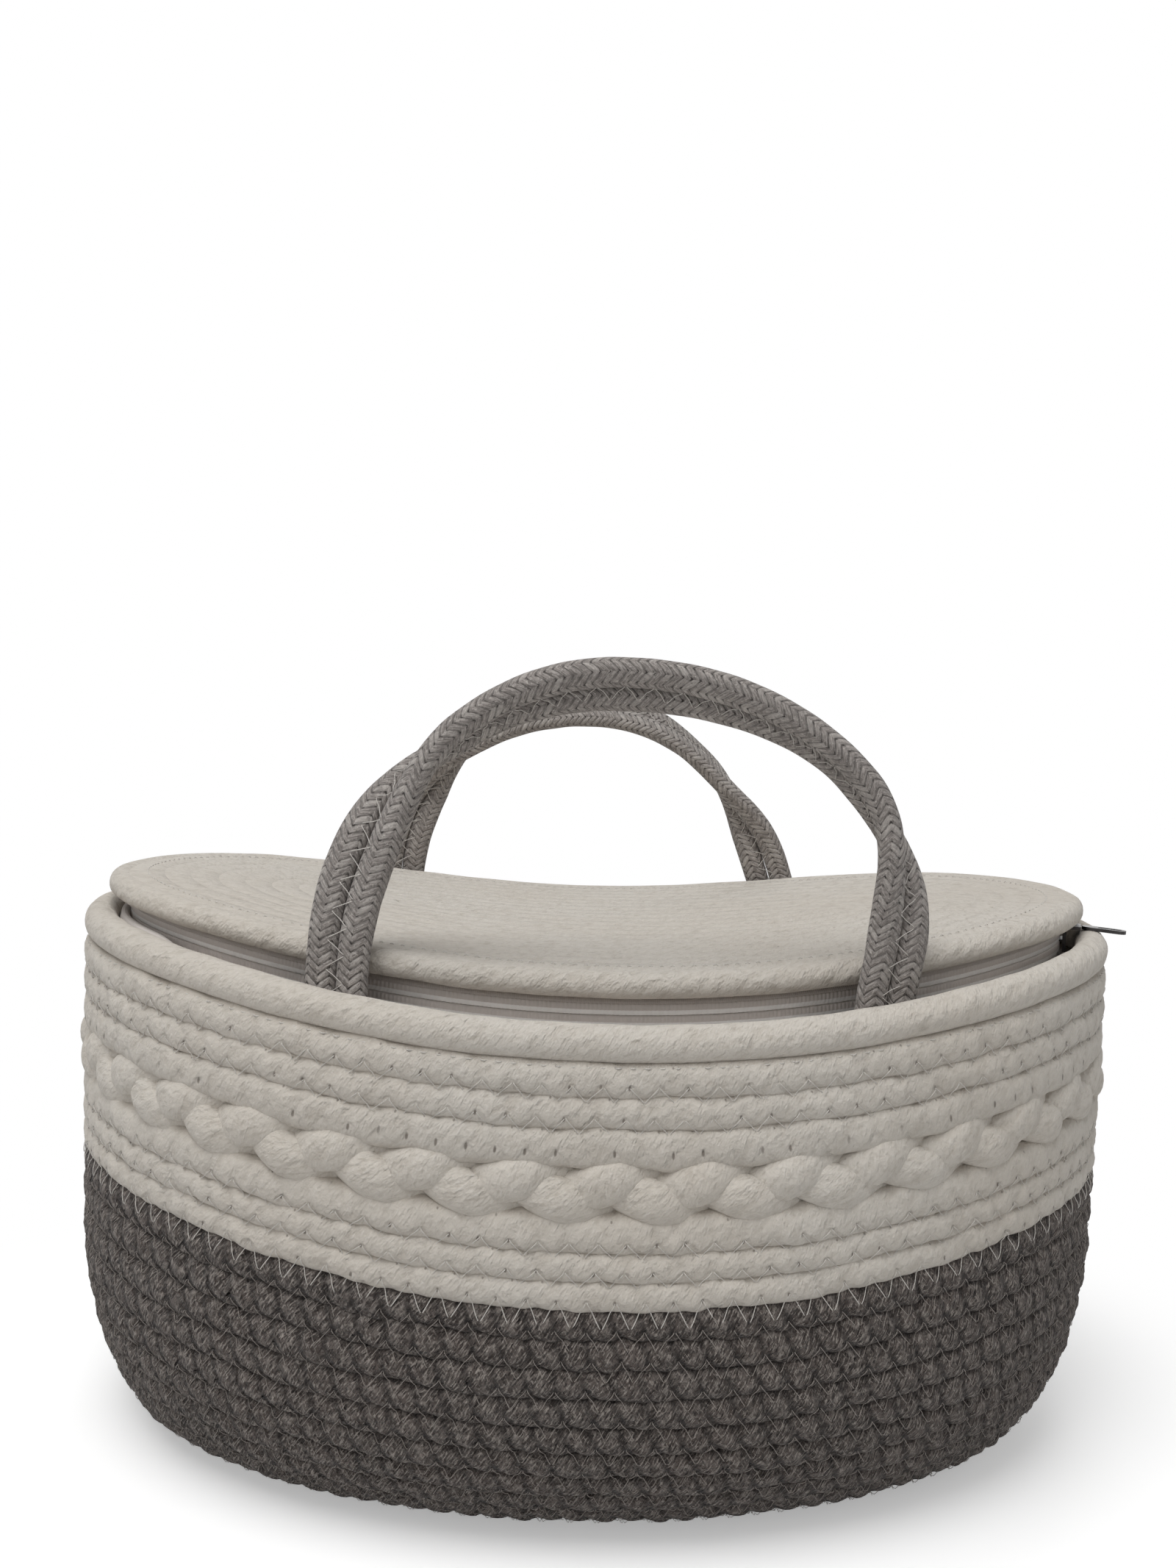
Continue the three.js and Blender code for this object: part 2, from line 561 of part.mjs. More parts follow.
// A sewn end: both ropes side by side, one body with a groove between them
function sewnEnd(side, hand) {
  const [deep, wide] = [HANDLE_DEPTH / 2, HANDLE_ROPE - SEAT / 2];
  const half = [[0, 0.55], [0.25, 1], [0.75, 1], [1, 0.55]];
  const top = [...half.slice(1).reverse().map(([x, y]) => [-x, y]), ...half];
  const outline = new THREE.Shape([...top.map(([x, y]) => [x, -y]), ...top.reverse()]
    .map(([x, y]) => new THREE.Vector2(x * wide, y * deep)));
  const depth = HANDLE_TUCK + HANDLE_FREE - SEAT;
  const body = new THREE.ExtrudeGeometry(outline, { depth, bevelEnabled: false });
  body.rotateZ(-side * hand * TWIST);
  body.translate(hand * HANDLE_SPAN / 2, side * HANDLE_Y, HANDLE_FOOT - HANDLE_TUCK);
  return body;
}

const handles = {
  front: { side: -1, rise: HANDLE_RISE, bulge: FRONT_BULGE, lean: FRONT_LEAN },
  rear: { side: 1, rise: HANDLE_RISE - REAR_HANDLE_DROP, bulge: REAR_BULGE, lean: REAR_LEAN },
};
for (const [place, handle] of Object.entries(handles)) {
  addMesh(`${place}_handle_outer_rope`, archRope(handle, HANDLE_ROPE / 2), HANDLE_GREY);
  addMesh(`${place}_handle_inner_rope`, archRope(handle, -HANDLE_ROPE / 2), HANDLE_GREY);
  addMesh(`${place}_handle_left_end`, sewnEnd(handle.side, -1), HANDLE_GREY);
  addMesh(`${place}_handle_right_end`, sewnEnd(handle.side, 1), HANDLE_GREY);
}

const gaps = { base, grey, lower, upper, lidCoil };
for (const [name, coil] of Object.entries(gaps)) {
  console.log(`least gap of ${name}: ${coil.gap.toFixed(2)} mm`);
}

export default caddy;
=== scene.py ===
"""Rope caddy with a plaited band, a zipped lid and two braided handles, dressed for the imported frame."""

import math
from types import SimpleNamespace

import bmesh
import bpy
import numpy as np
from bpy.props import FloatProperty, FloatVectorProperty, PointerProperty
from mathutils import Matrix, Vector


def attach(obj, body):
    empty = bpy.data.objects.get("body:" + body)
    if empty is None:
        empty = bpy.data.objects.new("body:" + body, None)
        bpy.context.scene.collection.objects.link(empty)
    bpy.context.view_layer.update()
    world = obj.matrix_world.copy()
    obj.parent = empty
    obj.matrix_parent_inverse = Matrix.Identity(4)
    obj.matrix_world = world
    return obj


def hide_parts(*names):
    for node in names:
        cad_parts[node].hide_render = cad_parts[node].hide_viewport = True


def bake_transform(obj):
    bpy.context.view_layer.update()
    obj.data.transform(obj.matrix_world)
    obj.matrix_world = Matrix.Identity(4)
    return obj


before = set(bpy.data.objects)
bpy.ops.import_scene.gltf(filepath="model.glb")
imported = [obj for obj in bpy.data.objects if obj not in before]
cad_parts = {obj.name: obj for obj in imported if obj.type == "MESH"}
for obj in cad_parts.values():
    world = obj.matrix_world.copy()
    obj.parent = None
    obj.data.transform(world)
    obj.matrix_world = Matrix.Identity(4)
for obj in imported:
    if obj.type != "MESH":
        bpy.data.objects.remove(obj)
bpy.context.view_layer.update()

bl_info = {
    "name": "Rope Caddy",
    "version": (1, 0, 0),
    "blender": (4, 5, 0),
    "location": "View3D > Sidebar > Rope Caddy",
    "description": "Dresses the rope caddy: coiled cotton rows, plait, braided handles, zip and stitching",
    "category": "Object",
}

TURN = 2 * math.pi
MM = 0.001
NUDGE = 0.0005

# Sizes of the part's own source, in metres
LENGTH = 0.370
WIDTH = 0.250
BASE_ROPE = 0.0084
BASE_PITCH = 0.0089
BASE_TURNS = 9
WALL_ROPE = 0.009
GREY_PITCH = 0.00895
GREY_TURNS = 11
LOWER_PITCH = 0.0086
LOWER_TURNS = 3
UPPER_PITCH = 0.0094
UPPER_TURNS = 3
RIM_ROPE = 0.011
RIM_TAIL = 0.3
COIL_START = math.radians(150)
COIL_STEPS = 24
JOG_STEPS = 2
ROUND_HEIGHT = 0.060
ROUND_INSET_ENDS = 0.030
ROUND_INSET_SIDES = 0.040
DIP = 0.018
FOOT_FULLNESS = 1.0
RIM_FULLNESS = 0.3
LID_FULLNESS = 0.5
CORE_FULLNESS = 0.28
PLAIT_HEIGHT = 0.0186
PLAIT_REPEATS = 12
LID_EDGE_ROPE = 0.0084
LID_ROPE = 0.008
LID_TURNS = 10
LID_LIFT = 0.0078
LID_DIP = 0.017
LID_HALF_LENGTH = 0.178
LID_HALF_WIDTH = 0.1036
CORE_GAP = 0.0008
SEAT = 0.0003
ZIP_HALF_LENGTH = 0.1695
ZIP_HALF_WIDTH = 0.0951
ZIP_END = math.radians(112)
HINGE_END = math.radians(108.5)
CHAIN_HEIGHT = 0.003
CHAIN_DEPTH = 0.0026
TAPE = 0.0012
TAPE_FLANGE = 0.012
TAPE_DROP = 0.028
TAPE_SEAM = 0.012
CHORD_ROOM = 0.0016
LID_SEAT = 0.0008
CHAIN_GAP = 0.0016
TAPE_FOLD = 0.0085
HANDLE_ROPE = 0.0103
HANDLE_DEPTH = 0.008
HANDLE_SPAN = 0.167
HANDLE_RISE = 0.100
REAR_HANDLE_DROP = 0.008
FRONT_BULGE = 0.009
FRONT_LEAN = 0.006
REAR_BULGE = 0.0
REAR_LEAN = -0.005
HANDLE_TUCK = 0.016
HANDLE_FREE = 0.008
HANDLE_Y = 0.100768
TWIST = 0.30832
TWIST_SHARE = 0.35
HANDLE_PIVOT_Z = 0.1737
LID_PIVOT_Z = 0.177

# Sizes of the soft pieces alone
JOIN = 0.02
COIL_TAPER = 0.92
EDGE_OVERLAP = 0.0028
EDGE_SAG = 0.0014
LID_SQUASH = 0.0012
PLAIT_PRESS = 0.0022
PLAIT_SWING = 0.0047
PLAIT_WEAVE = 0.0028
PLAIT_SINK = 0.0012
STITCH = 0.0085
STITCH_REACH = 0.0034
GREY_DROPS = (0.003, 0.003)
LOWER_DROPS = (0.0052, 0.0014)
UPPER_DROPS = (0.0014, 0.0014)
STITCH_CHANGE = 0.00025
BASE_STEP = 0.003
GREY_STEP = 0.0017
ROW_STEP = 0.0013
RING_STEP = 0.0014
LID_STEP = 0.0022
TAPE_STEP = 0.003
BRAID_STEP = 0.0012
PUCKER_LEAN = 0.3
PUCKER_CHANGE = 271.0
LEG = np.array([0.0, 0.1, 0.22, 0.36, 0.5, 0.64, 0.78, 0.9])
LEG_SINK = np.array([-0.0011, -0.0001, 0.0, 0.0, 0.0, 0.0, 0.0, -0.0001])
SEAM_HEIGHT = np.array([0.0026, 0.0037, 0.0036, 0.0033, 0.0031, 0.0033, 0.0036, 0.0037])
RIM_DASH = 0.0043
RIM_SEAM_DROP = 0.0006
RIM_SEAM_HEIGHT = 0.0028
RIM_SEAM_WAVE = 0.0009
WHIP_PITCH = 0.0024
WHIP_START = math.radians(288)
WHIP_END = math.radians(352)
LID_SEAM_RUN = -0.0125
LID_SEAM_SINK = 0.0001
LID_SEAM_WAVE = 0.0005
LID_DASH = 0.0034
TAPE_CLOTH = TAPE * 0.8
TEETH_PITCH = 0.0013
HINGE_BEND_LOW = 0.026
HINGE_BEND_HIGH = 0.008
HANDLE_CLEAR = 0.016
HANDLE_CLEAR_FADE = 0.010
FOLD_START = 0.03
HANDLE_SEAM_START = 0.002
HANDLE_SEAM_PITCH = 0.0087
HANDLE_SEAM_REACH = 0.0032
HANDLE_BEND = 0.007
ROLL_START_RIGHT = 0.045
ROLL_START_LEFT = 0.11
ROLL_LENGTH = 0.20
SHOULDER_ROLL = math.radians(98)
PRESS = 0.42
PRESS_HEIGHT = 0.1785
PRESS_LENGTH = 0.011
ARCH_POINTS = 500
LEG_POINTS = 59
GIRTH = 0.027
BRAID_ARMS = 8
BRAID_LEAN = math.tan(math.radians(38)) * 0.029 / BRAID_ARMS

CAMERA_PLACE = (-0.0262, -0.5181, 0.2593)
CAMERA_YAW = -0.0396
CAMERA_PITCH = 0.0566
CAMERA_ROLL = 0.0323
LIGHT_TARGET = Vector((0, 0, 0.1))
LIGHT_SIZE = 1.4
LIGHTS = {"key_light": ((-0.4, -0.7, 1.9), 2.5), "fill_light": ((-1.3, -1.2, 0.9), 0.42),
          "side_light": ((1.4, -0.7, 0.9), 0.25), "back_light": ((0.5, 1.7, 1.1), 0.6)}

BASE_Z = BASE_ROPE / 2
BASE_REACH = BASE_PITCH * BASE_TURNS
GREY_TOP = GREY_PITCH * GREY_TURNS
PLAIT_FOOT = GREY_TOP + LOWER_PITCH * LOWER_TURNS
PLAIT_TOP = PLAIT_FOOT + PLAIT_HEIGHT
RIM_FOOT = PLAIT_TOP + UPPER_PITCH * UPPER_TURNS
FLANGE_TOP = -LID_SEAT
LID_CHAIN_TOP = FLANGE_TOP - TAPE - SEAT
LID_CHAIN_FOOT = LID_CHAIN_TOP - CHAIN_HEIGHT
RIM_CHAIN_TOP = LID_CHAIN_FOOT - CHAIN_GAP
RIM_CHAIN_FOOT = RIM_CHAIN_TOP - CHAIN_HEIGHT


def smooth(value):
    t = np.clip(value, 0, 1)
    return t * t * (3 - 2 * t)


def lerp(a, b, t):
    return a + (b - a) * t


def unit(vectors):
    return vectors / np.linalg.norm(vectors, axis=-1, keepdims=True)


def dot(a, b):
    return np.sum(a * b, axis=-1)


def square(vectors, along):
    """Directions at right angles to others"""
    return unit(vectors - along * dot(vectors, along)[:, None])


def lengths_along(points):
    return np.concatenate([[0], np.cumsum(np.linalg.norm(np.diff(points, axis=0), axis=1))])


def spread(places, known, table):
    """A table's columns at other places"""
    return np.column_stack([np.interp(places, known, column) for column in table.T])


# Surfaces that the rope centres follow
def rounding():
    angle = np.linspace(0, math.pi / 2, 61)
    climb = ROUND_HEIGHT * (1 - np.cos(angle))
    inset = 1 - np.sin(angle)
    steps = np.hypot(np.diff(climb), ROUND_INSET_SIDES * np.diff(inset))
    return np.concatenate([[0], np.cumsum(steps)]), climb, inset


ROUND_RUNS, ROUND_CLIMBS, ROUND_INSETS = rounding()
ROUND_RUN = ROUND_RUNS[-1]
DIP_CLIMB = ROUND_HEIGHT + GREY_TOP - ROUND_RUN


def oval(angle, half_length, half_width, fullness):
    turn = np.cos(angle)
    straight = (half_length - half_width) * np.sign(turn) * np.abs(turn) ** fullness
    return straight + half_width * turn, half_width * np.sin(angle)


def out_of_dip(x):
    share = np.minimum(np.abs(x) / (LENGTH / 2), 1)
    return 1 - (1 - share * share) ** 2


def wall_point(angle, run):
    base = np.minimum(run, 0)
    rise = np.maximum(run, 0)
    inset = np.interp(rise, ROUND_RUNS, ROUND_INSETS)
    climb = np.interp(rise, ROUND_RUNS, ROUND_CLIMBS) + np.maximum(rise - ROUND_RUN, 0)
    fullness = (FOOT_FULLNESS + (CORE_FULLNESS - FOOT_FULLNESS) * smooth(-base / BASE_REACH)
                + (RIM_FULLNESS - FOOT_FULLNESS) * smooth(rise / RIM_FOOT))
    x, y = oval(angle, (LENGTH - WALL_ROPE) / 2 - ROUND_INSET_ENDS * inset + base,
                (WIDTH - WALL_ROPE) / 2 - ROUND_INSET_SIDES * inset + base, fullness)
    lift = DIP * np.minimum(climb / DIP_CLIMB, 1) * out_of_dip(x)
    return np.stack([x, y, BASE_Z + climb + lift], -1)


def rim_top(x):
    return BASE_Z + ROUND_HEIGHT + RIM_FOOT - ROUND_RUN + RIM_ROPE + DIP * out_of_dip(x)


LID_Z = rim_top(0) + LID_LIFT
LID_PITCH = (LID_HALF_WIDTH - LID_EDGE_ROPE - SEAT - CORE_GAP / 2) / LID_TURNS
HANDLE_FOOT = rim_top(0) - 0.001


def lid_bottom(x):
    return LID_Z - LID_EDGE_ROPE / 2 + LID_DIP * out_of_dip(x)


def lid_point(angle, run):
    fullness = lerp(LID_FULLNESS, CORE_FULLNESS, smooth(-run / LID_HALF_WIDTH))
    x, y = oval(angle, LID_HALF_LENGTH + run, LID_HALF_WIDTH + run, fullness)
    return np.stack([x, y, lid_bottom(x) + LID_EDGE_ROPE / 2], -1)


def zip_point(angle, run):
    x, y = oval(angle, ZIP_HALF_LENGTH + run, ZIP_HALF_WIDTH + run, LID_FULLNESS)
    return np.stack([x, y, lid_bottom(x)], -1)


def wound(angle):
    return (angle - COIL_START) / TURN


def jog(share):
    """How far a row has climbed to the next one, by shares of a turn"""
    return smooth((share * COIL_STEPS - (COIL_STEPS - JOG_STEPS)) / JOG_STEPS)


# Angles between two ends, close together where the outline runs straight
def dense_angles(start, end):
    near = np.arcsin(np.linspace(0, 1, 200) ** (1 / RIM_FULLNESS))
    bends = [side + way * near for side in (TURN / 4, 3 * TURN / 4) for way in (1, -1)]
    one = np.mod(np.concatenate([np.linspace(0, TURN, 720, endpoint=False)] + bends), TURN)
    turns = np.arange(math.floor(start / TURN), math.ceil(end / TURN) + 1)
    angles = np.unique((one[None, :] + TURN * turns[:, None]).ravel())
    return np.concatenate([[start], angles[(angles > start) & (angles < end)], [end]])


class Course:
    """A rope's way over a surface: rings at an even step, with their directions and half heights"""

    def __init__(self, surface, angles, runs, pitch, step):
        point = surface(angles, runs)
        rise = surface(angles, runs + NUDGE) - surface(angles, runs - NUDGE)
        upper = surface(angles, runs + pitch / 2) - point
        lower = point - surface(angles, runs - pitch / 2)
        lengths = lengths_along(point)
        self.length = lengths[-1]
        self.metres = np.linspace(0, self.length, max(2, round(self.length / step) + 1))
        table = spread(self.metres, lengths, np.column_stack([point, rise, upper, lower, angles]))
        self.point = table[:, :3]
        self.angle = table[:, 12]
        self.along = unit(np.gradient(self.point, axis=0))
        self.across = square(table[:, 3:6], self.along)
        self.out = np.cross(self.along, self.across)
        self.high = dot(table[:, 6:9], self.across)
        self.low = dot(table[:, 9:12], self.across)

    def at(self, metres):
        """Points, directions across and out, and lower half heights at other places along the rope"""
        table = spread(metres, self.metres, np.column_stack([self.point, self.across, self.out, self.low]))
        return table[:, :3], table[:, 3:6], table[:, 6:9], table[:, 9]


def coil(surface, start, pitch, turns, step, tapered=False):
    """Rows of one rope; a tapered one narrows away at its end, against the ring outside it"""
    angles = dense_angles(COIL_START, COIL_START + turns * TURN)
    share = wound(angles)
    turn = np.minimum(np.floor(share), turns - 1)
    move = jog(share - turn)
    place = turn + 0.5 + move
    if tapered:
        place = np.where(turn == turns - 1, turns - (1 - move) / 2, place)
    course = Course(surface, angles, start + pitch * place, pitch, step)
    if tapered:
        end = wound(course.angle) - (turns - 1)
        size = np.where(end > 0, 1 - COIL_TAPER * jog(end), 1)
        course.high = course.high * size + EDGE_OVERLAP * smooth(end / JOIN)
        course.low = course.low * size
    return course


# Meshes
def linked(name, data):
    made = bpy.data.objects.new(name, data)
    bpy.context.scene.collection.objects.link(made)
    return made


def finish_mesh(name, bm, finish):
    mesh = bpy.data.meshes.new(name)
    bm.to_mesh(mesh)
    bm.free()
    mesh.shade_smooth()
    mesh.materials.append(material(finish))
    return linked(name, mesh)


def skin(name, points, length, finish, ring=False):
    """A grid bent round into a tube: rings along its rows, its seam closed and its ends filled"""
    rings, around = points.shape[:2]
    bm = bmesh.new()
    bm.loops.layers.uv.new("Rope")
    bmesh.ops.create_grid(bm, x_segments=rings - 1, y_segments=around - 1, size=1, calc_uvs=True)
    mesh = bpy.data.meshes.new(name)
    bm.to_mesh(mesh)
    mesh.vertices.foreach_set("co", points.transpose(1, 0, 2).astype(np.float32).ravel())
    uv = mesh.uv_layers["Rope"].uv
    pairs = np.empty(len(uv) * 2, np.float32)
    uv.foreach_get("vector", pairs)
    pairs[0::2] *= length
    uv.foreach_set("vector", pairs)
    bm.clear()
    bm.from_mesh(mesh)
    bpy.data.meshes.remove(mesh)
    bmesh.ops.remove_doubles(bm, verts=bm.verts[:], dist=2e-6)
    open_edges = [edge for edge in bm.edges if edge.is_boundary]
    if open_edges and not ring:
        bmesh.ops.holes_fill(bm, edges=open_edges, sides=0)
    bmesh.ops.recalc_face_normals(bm, faces=bm.faces[:])
    return finish_mesh(name, bm, finish)


def ripple(metres, share, seed, waves, size, shortest, longest):
    """Slow unevenness of a rope's skin, the same each time"""
    rng = np.random.default_rng(seed)
    total = np.zeros((len(metres), len(share)))
    for _ in range(waves):
        wave = rng.uniform(shortest, longest)
        turns = rng.integers(0, 3)
        shift = rng.uniform(0, TURN)
        total += np.sin(TURN * metres[:, None] / wave + TURN * turns * share[None, :] + shift)
    return total * size / math.sqrt(waves)


def squared(angle, power):
    """Places round a circle, drawn out towards a square"""
    return [np.sign(way) * np.abs(way) ** power for way in (np.cos(angle), np.sin(angle))]


def section(share, deep, high, low, roundness):
    """Out and across places of a rope's skin, from half sizes that are numbers or one for each ring"""
    angle = math.pi + TURN * share
    outward, upward = squared(angle, 2 / roundness)
    deep, high, low = (np.atleast_1d(half)[:, None] for half in (deep, high, low))
    return deep * outward, np.where(upward > 0, high, low) * upward


def laid(course, outward, upward):
    return (course.point[:, None, :] + course.out[:, None, :] * outward[:, :, None]
            + course.across[:, None, :] * upward[:, :, None])


def rope_piece(name, course, finish, sides, halves, roundness, ripples, swell=0.0, ring=False):
    """One rope with an uneven skin; its section starts and ends at the hidden inner face"""
    share = np.linspace(0, 1, sides + 1)
    outward, upward = section(share, *halves, roundness)
    uneven = 1 + swell + ripple(course.metres, share, *ripples)
    points = laid(course, outward * uneven, upward * uneven)
    if ring:
        points[-1] = points[0]
    return skin(name, points, course.length, finish, ring)


def thread(name, points, outs, radius, finish, sides=4):
    """A thin thread through a row of points"""
    along = unit(np.gradient(points, axis=0))
    side = unit(np.cross(along, outs))
    rise = np.cross(side, along)
    angle = np.linspace(0, TURN, sides + 1)[:, None]
    rings = points[:, None] + radius * (np.cos(angle) * rise[:, None] + np.sin(angle) * side[:, None])
    return skin(name, rings, float(lengths_along(points)[-1]), finish)


# Rows of rope with their stitches
def rope_look(sides, roundness, pucker, deep=WALL_ROPE / 2):
    return SimpleNamespace(sides=sides, roundness=roundness, pucker=pucker, deep=deep,
                           squash=bpy.context.scene.caddy_ropes.squash)


def row_face(off, half, look):
    """How far out a row's skin stands at a height above or below its crease"""
    place = np.clip((half - np.abs(off)) / (half + look.squash), 0, 1)
    return look.deep * (1 - place ** look.roundness) ** (1 / look.roundness)


def legs(ends):
    """Places along the straight legs of a zig-zag between its ends"""
    return (ends[:-1, None] + np.diff(ends)[:, None] * LEG).ravel()


def by_turns(count, first, second):
    return np.where(np.arange(count) % 2 == 0, first, second)


def zigzag(course, look, down, seed):
    """A zig-zag thread over the crease below a row: up into the row, and this far down below it"""
    count = int((course.length - STITCH) / (STITCH / 2))
    uneven = np.random.default_rng(seed).normal(0, STITCH_CHANGE, count + 1)
    ends = STITCH / 2 + np.arange(count + 1) * STITCH / 2 + uneven
    off = legs(by_turns(count + 1, STITCH_REACH, -np.interp(ends, course.metres, down)))
    point, across, out, low = course.at(legs(ends))
    outward = row_face(off, low, look) + np.tile(LEG_SINK, count)
    return point + across * (off - low)[:, None] + out * outward[:, None], out


def marks_below(course, marks):
    """Places one turn below marks on a course"""
    angles = np.interp(marks, course.metres, course.angle)
    return np.interp(angles - TURN, course.angle, course.metres)


def dimples(course, upward, marks, height, width):
    """Round hollows at marks along the rope, this far above its middle"""
    place = np.clip(np.searchsorted(marks, course.metres), 1, len(marks) - 1)
    gap = np.minimum(np.abs(course.metres - marks[place - 1]), np.abs(course.metres - marks[place]))
    return np.exp(-(gap[:, None] / width) ** 2 - ((upward - height) / width) ** 2)


def row_piece(name, course, finish, look, seed, own=(), above=()):
    """Rows of soft rope, drawn in where the thread passes through them"""
    ropes = bpy.context.scene.caddy_ropes
    share = np.linspace(0, 1, look.sides + 1)
    outward, upward = section(share, look.deep, course.high + look.squash, course.low + look.squash,
                              look.roundness)
    face = np.clip(outward / look.deep, 0, 1)
    low = course.low[:, None]
    place = course.metres[:, None] / STITCH - 0.5 + PUCKER_LEAN * upward / low
    drawn = (0.5 + 0.5 * np.cos(TURN * place)) ** 2
    uneven = 0.75 + 0.25 * np.sin(course.metres * PUCKER_CHANGE + seed)[:, None]
    sunk = ripple(course.metres, share, seed, 9, ropes.unevenness, 0.007, 0.06)
    sunk = sunk - look.pucker * face * drawn * uneven
    for marks, height, depth in ((own, -0.001, face), (above, low * 0.78, 0.7)):
        if len(marks):
            sunk = sunk - ropes.pin_depth * depth * dimples(course, upward, marks, height, ropes.pin)
    scale = 1 + sunk / look.deep
    points = laid(course, outward * scale, upward * scale)
    points[:, :, 2] = np.maximum(points[:, :, 2], 0)
    return skin(name, points, course.length, finish)


# Materials
class Socket:
    """A node socket that plain arithmetic can be written with"""

    def __init__(self, finish, socket):
        self.finish = finish
        self.socket = socket

    def other(self, name):
        """Another output of the same node"""
        return Socket(self.finish, self.socket.node.outputs[name])

    def math(self, operation, *others):
        return self.finish.math(operation, self, *others)

    def __add__(self, other):
        return self.math("ADD", other)

    def __sub__(self, other):
        return self.math("SUBTRACT", other)

    def __rsub__(self, other):
        return self.finish.math("SUBTRACT", other, self)

    def __mul__(self, other):
        return self.math("MULTIPLY", other)

    def __truediv__(self, other):
        return self.math("DIVIDE", other)

    def __abs__(self):
        return self.math("ABSOLUTE")

    __radd__ = __add__
    __rmul__ = __mul__

    def floor(self):
        return self.math("FLOOR")

    def fract(self):
        return self.math("FRACT")

    def step(self, low, high):
        """0 below low and 1 above high, or the other way where low is the greater"""
        return self.finish.add("ShaderNodeMapRange", {"interpolation_type": "SMOOTHSTEP"},
                               {"Value": self, "From Min": low, "From Max": high})


class Finish:
    """The node tree of a material or of the world"""

    def __init__(self, owner, shader="Principled BSDF"):
        owner.use_nodes = True
        self.tree = owner.node_tree
        self.shader = self.tree.nodes[shader]
        self.colours = bpy.context.scene.caddy_colours

    def add(self, kind, settings=None, inputs=None, output=0):
        node = self.tree.nodes.new(kind)
        for key, value in (settings or {}).items():
            setattr(node, key, value)
        for key, value in (inputs or {}).items():
            self.feed(node.inputs[key], value)
        return Socket(self, node.outputs[output])

    def feed(self, socket, value):
        """Link a socket, or set it to a number or to one of the caddy's colours by its name"""
        if isinstance(value, Socket):
            self.tree.links.new(value.socket, socket)
        else:
            socket.default_value = getattr(self.colours, value) if isinstance(value, str) else value

    def set(self, **values):
        """Values of the shader's own sockets, their names written with underscores"""
        for key, value in values.items():
            self.feed(self.shader.inputs[key.replace("_", " ")], value)

    def math(self, operation, *values):
        return self.add("ShaderNodeMath", {"operation": operation}, dict(enumerate(values)))

    def vector(self, x, y):
        return self.add("ShaderNodeCombineXYZ", None, {0: x, 1: y})

    def split(self, vector):
        x = self.add("ShaderNodeSeparateXYZ", None, {0: vector})
        return x, x.other(1)

    def uv(self):
        return self.split(self.add("ShaderNodeUVMap"))

    def place(self):
        return self.add("ShaderNodeTexCoord", output="Object")

    def noise(self, scale, detail=2.0, roughness=0.5, vector=None):
        return self.add("ShaderNodeTexNoise", None, {"Vector": vector or self.place(), "Scale": scale,
                                                     "Detail": detail, "Roughness": roughness})

    def strokes(self, u, w, lean, length, width, detail=2.0):
        """Noise drawn out into short strokes that lean by these degrees from the row"""
        turn, rise = math.cos(math.radians(lean)), math.sin(math.radians(lean))
        x, y = (u * turn + w * rise) / length, (w * turn - u * rise) / width
        return self.noise(1.0, detail, vector=self.vector(x, y))

    def random(self, x, y):
        return self.add("ShaderNodeTexWhiteNoise", {"noise_dimensions": "2D"}, {"Vector": self.vector(x, y)})

    def coats(self, base, *layers):
        """A colour with others mixed over it, each by its own factor"""
        for factor, colour in layers:
            base = self.add("ShaderNodeMix", {"data_type": "RGBA"}, {0: factor, 6: base, 7: colour}, 2)
        return base

    def bumps(self, *layers):
        """A normal from bumps over one another, each with its height, distance and strength"""
        under = {}
        for height, distance, strength in layers:
            inputs = {"Height": height, "Distance": distance, "Strength": strength, **under}
            under = {"Normal": self.add("ShaderNodeBump", None, inputs)}
        return under["Normal"]

    def seen(self):
        """1 for rays that the camera sees, straight, in a mirror or through glass"""
        straight = self.add("ShaderNodeLightPath", output="Is Camera Ray")
        mirrored = straight.math("MAXIMUM", straight.other("Is Glossy Ray"))
        return mirrored.math("MAXIMUM", straight.other("Is Transmission Ray"))


WHITE = (1, 1, 1, 1)


def linear(colour):
    """Scene colour from the three 0 to 255 numbers of a screen colour"""
    values = [c / 255 for c in colour]
    return tuple(c / 12.92 if c <= 0.04045 else ((c + 0.055) / 1.055) ** 2.4 for c in values) + (1.0,)


def scaled(colour, share):
    return tuple(c * share for c in colour[:3]) + (1.0,)


def fuzzy(finish, u, w, depth, drawn_in=None):
    """Short fibres and felted fuzz over a cotton surface"""
    fine = finish.noise(1500, 3.0, 0.65)
    tufts = finish.noise(420, 2.0, 0.6)
    soft = finish.strokes(u, w, 35, 0.0065, 0.0034)
    hairs = finish.strokes(u, w, 55, 0.0022, 0.0005)
    bumps = [(soft, 0.0030 * depth, 0.7), (tufts, 0.0016 * depth, 0.7)]
    if drawn_in:
        bumps.append((1.0 - drawn_in, 0.0005, 0.7))
    bumps += [(hairs, 0.0007 * depth, 0.7), (fine, 0.0004 * depth, 0.6)]
    finish.set(Normal=finish.bumps(*bumps), Roughness=0.95, Sheen_Weight=0.15, Sheen_Roughness=0.6,
               Specular_IOR_Level=0.05)
    return tufts, hairs, soft


def needle_hole_shade(finish, u, v, height, shift, size, keep):
    """Painted shade of small holes at every stitch of a row, some of them closed up again"""
    stitch = u / STITCH + shift
    scatter = finish.random(stitch.floor(), (u * 3.0).floor())
    along = (stitch.fract() - 0.5 + (scatter - 0.5) * 0.12) * (STITCH / MM)
    across = (v - (0.5 + height)) * (GIRTH / MM) + (scatter - 0.5) * 0.7
    spot = (along * along + across * across * 0.6).math("SQRT")
    return spot.step(size, size * 0.35) * scatter.step(keep, keep + 0.35)


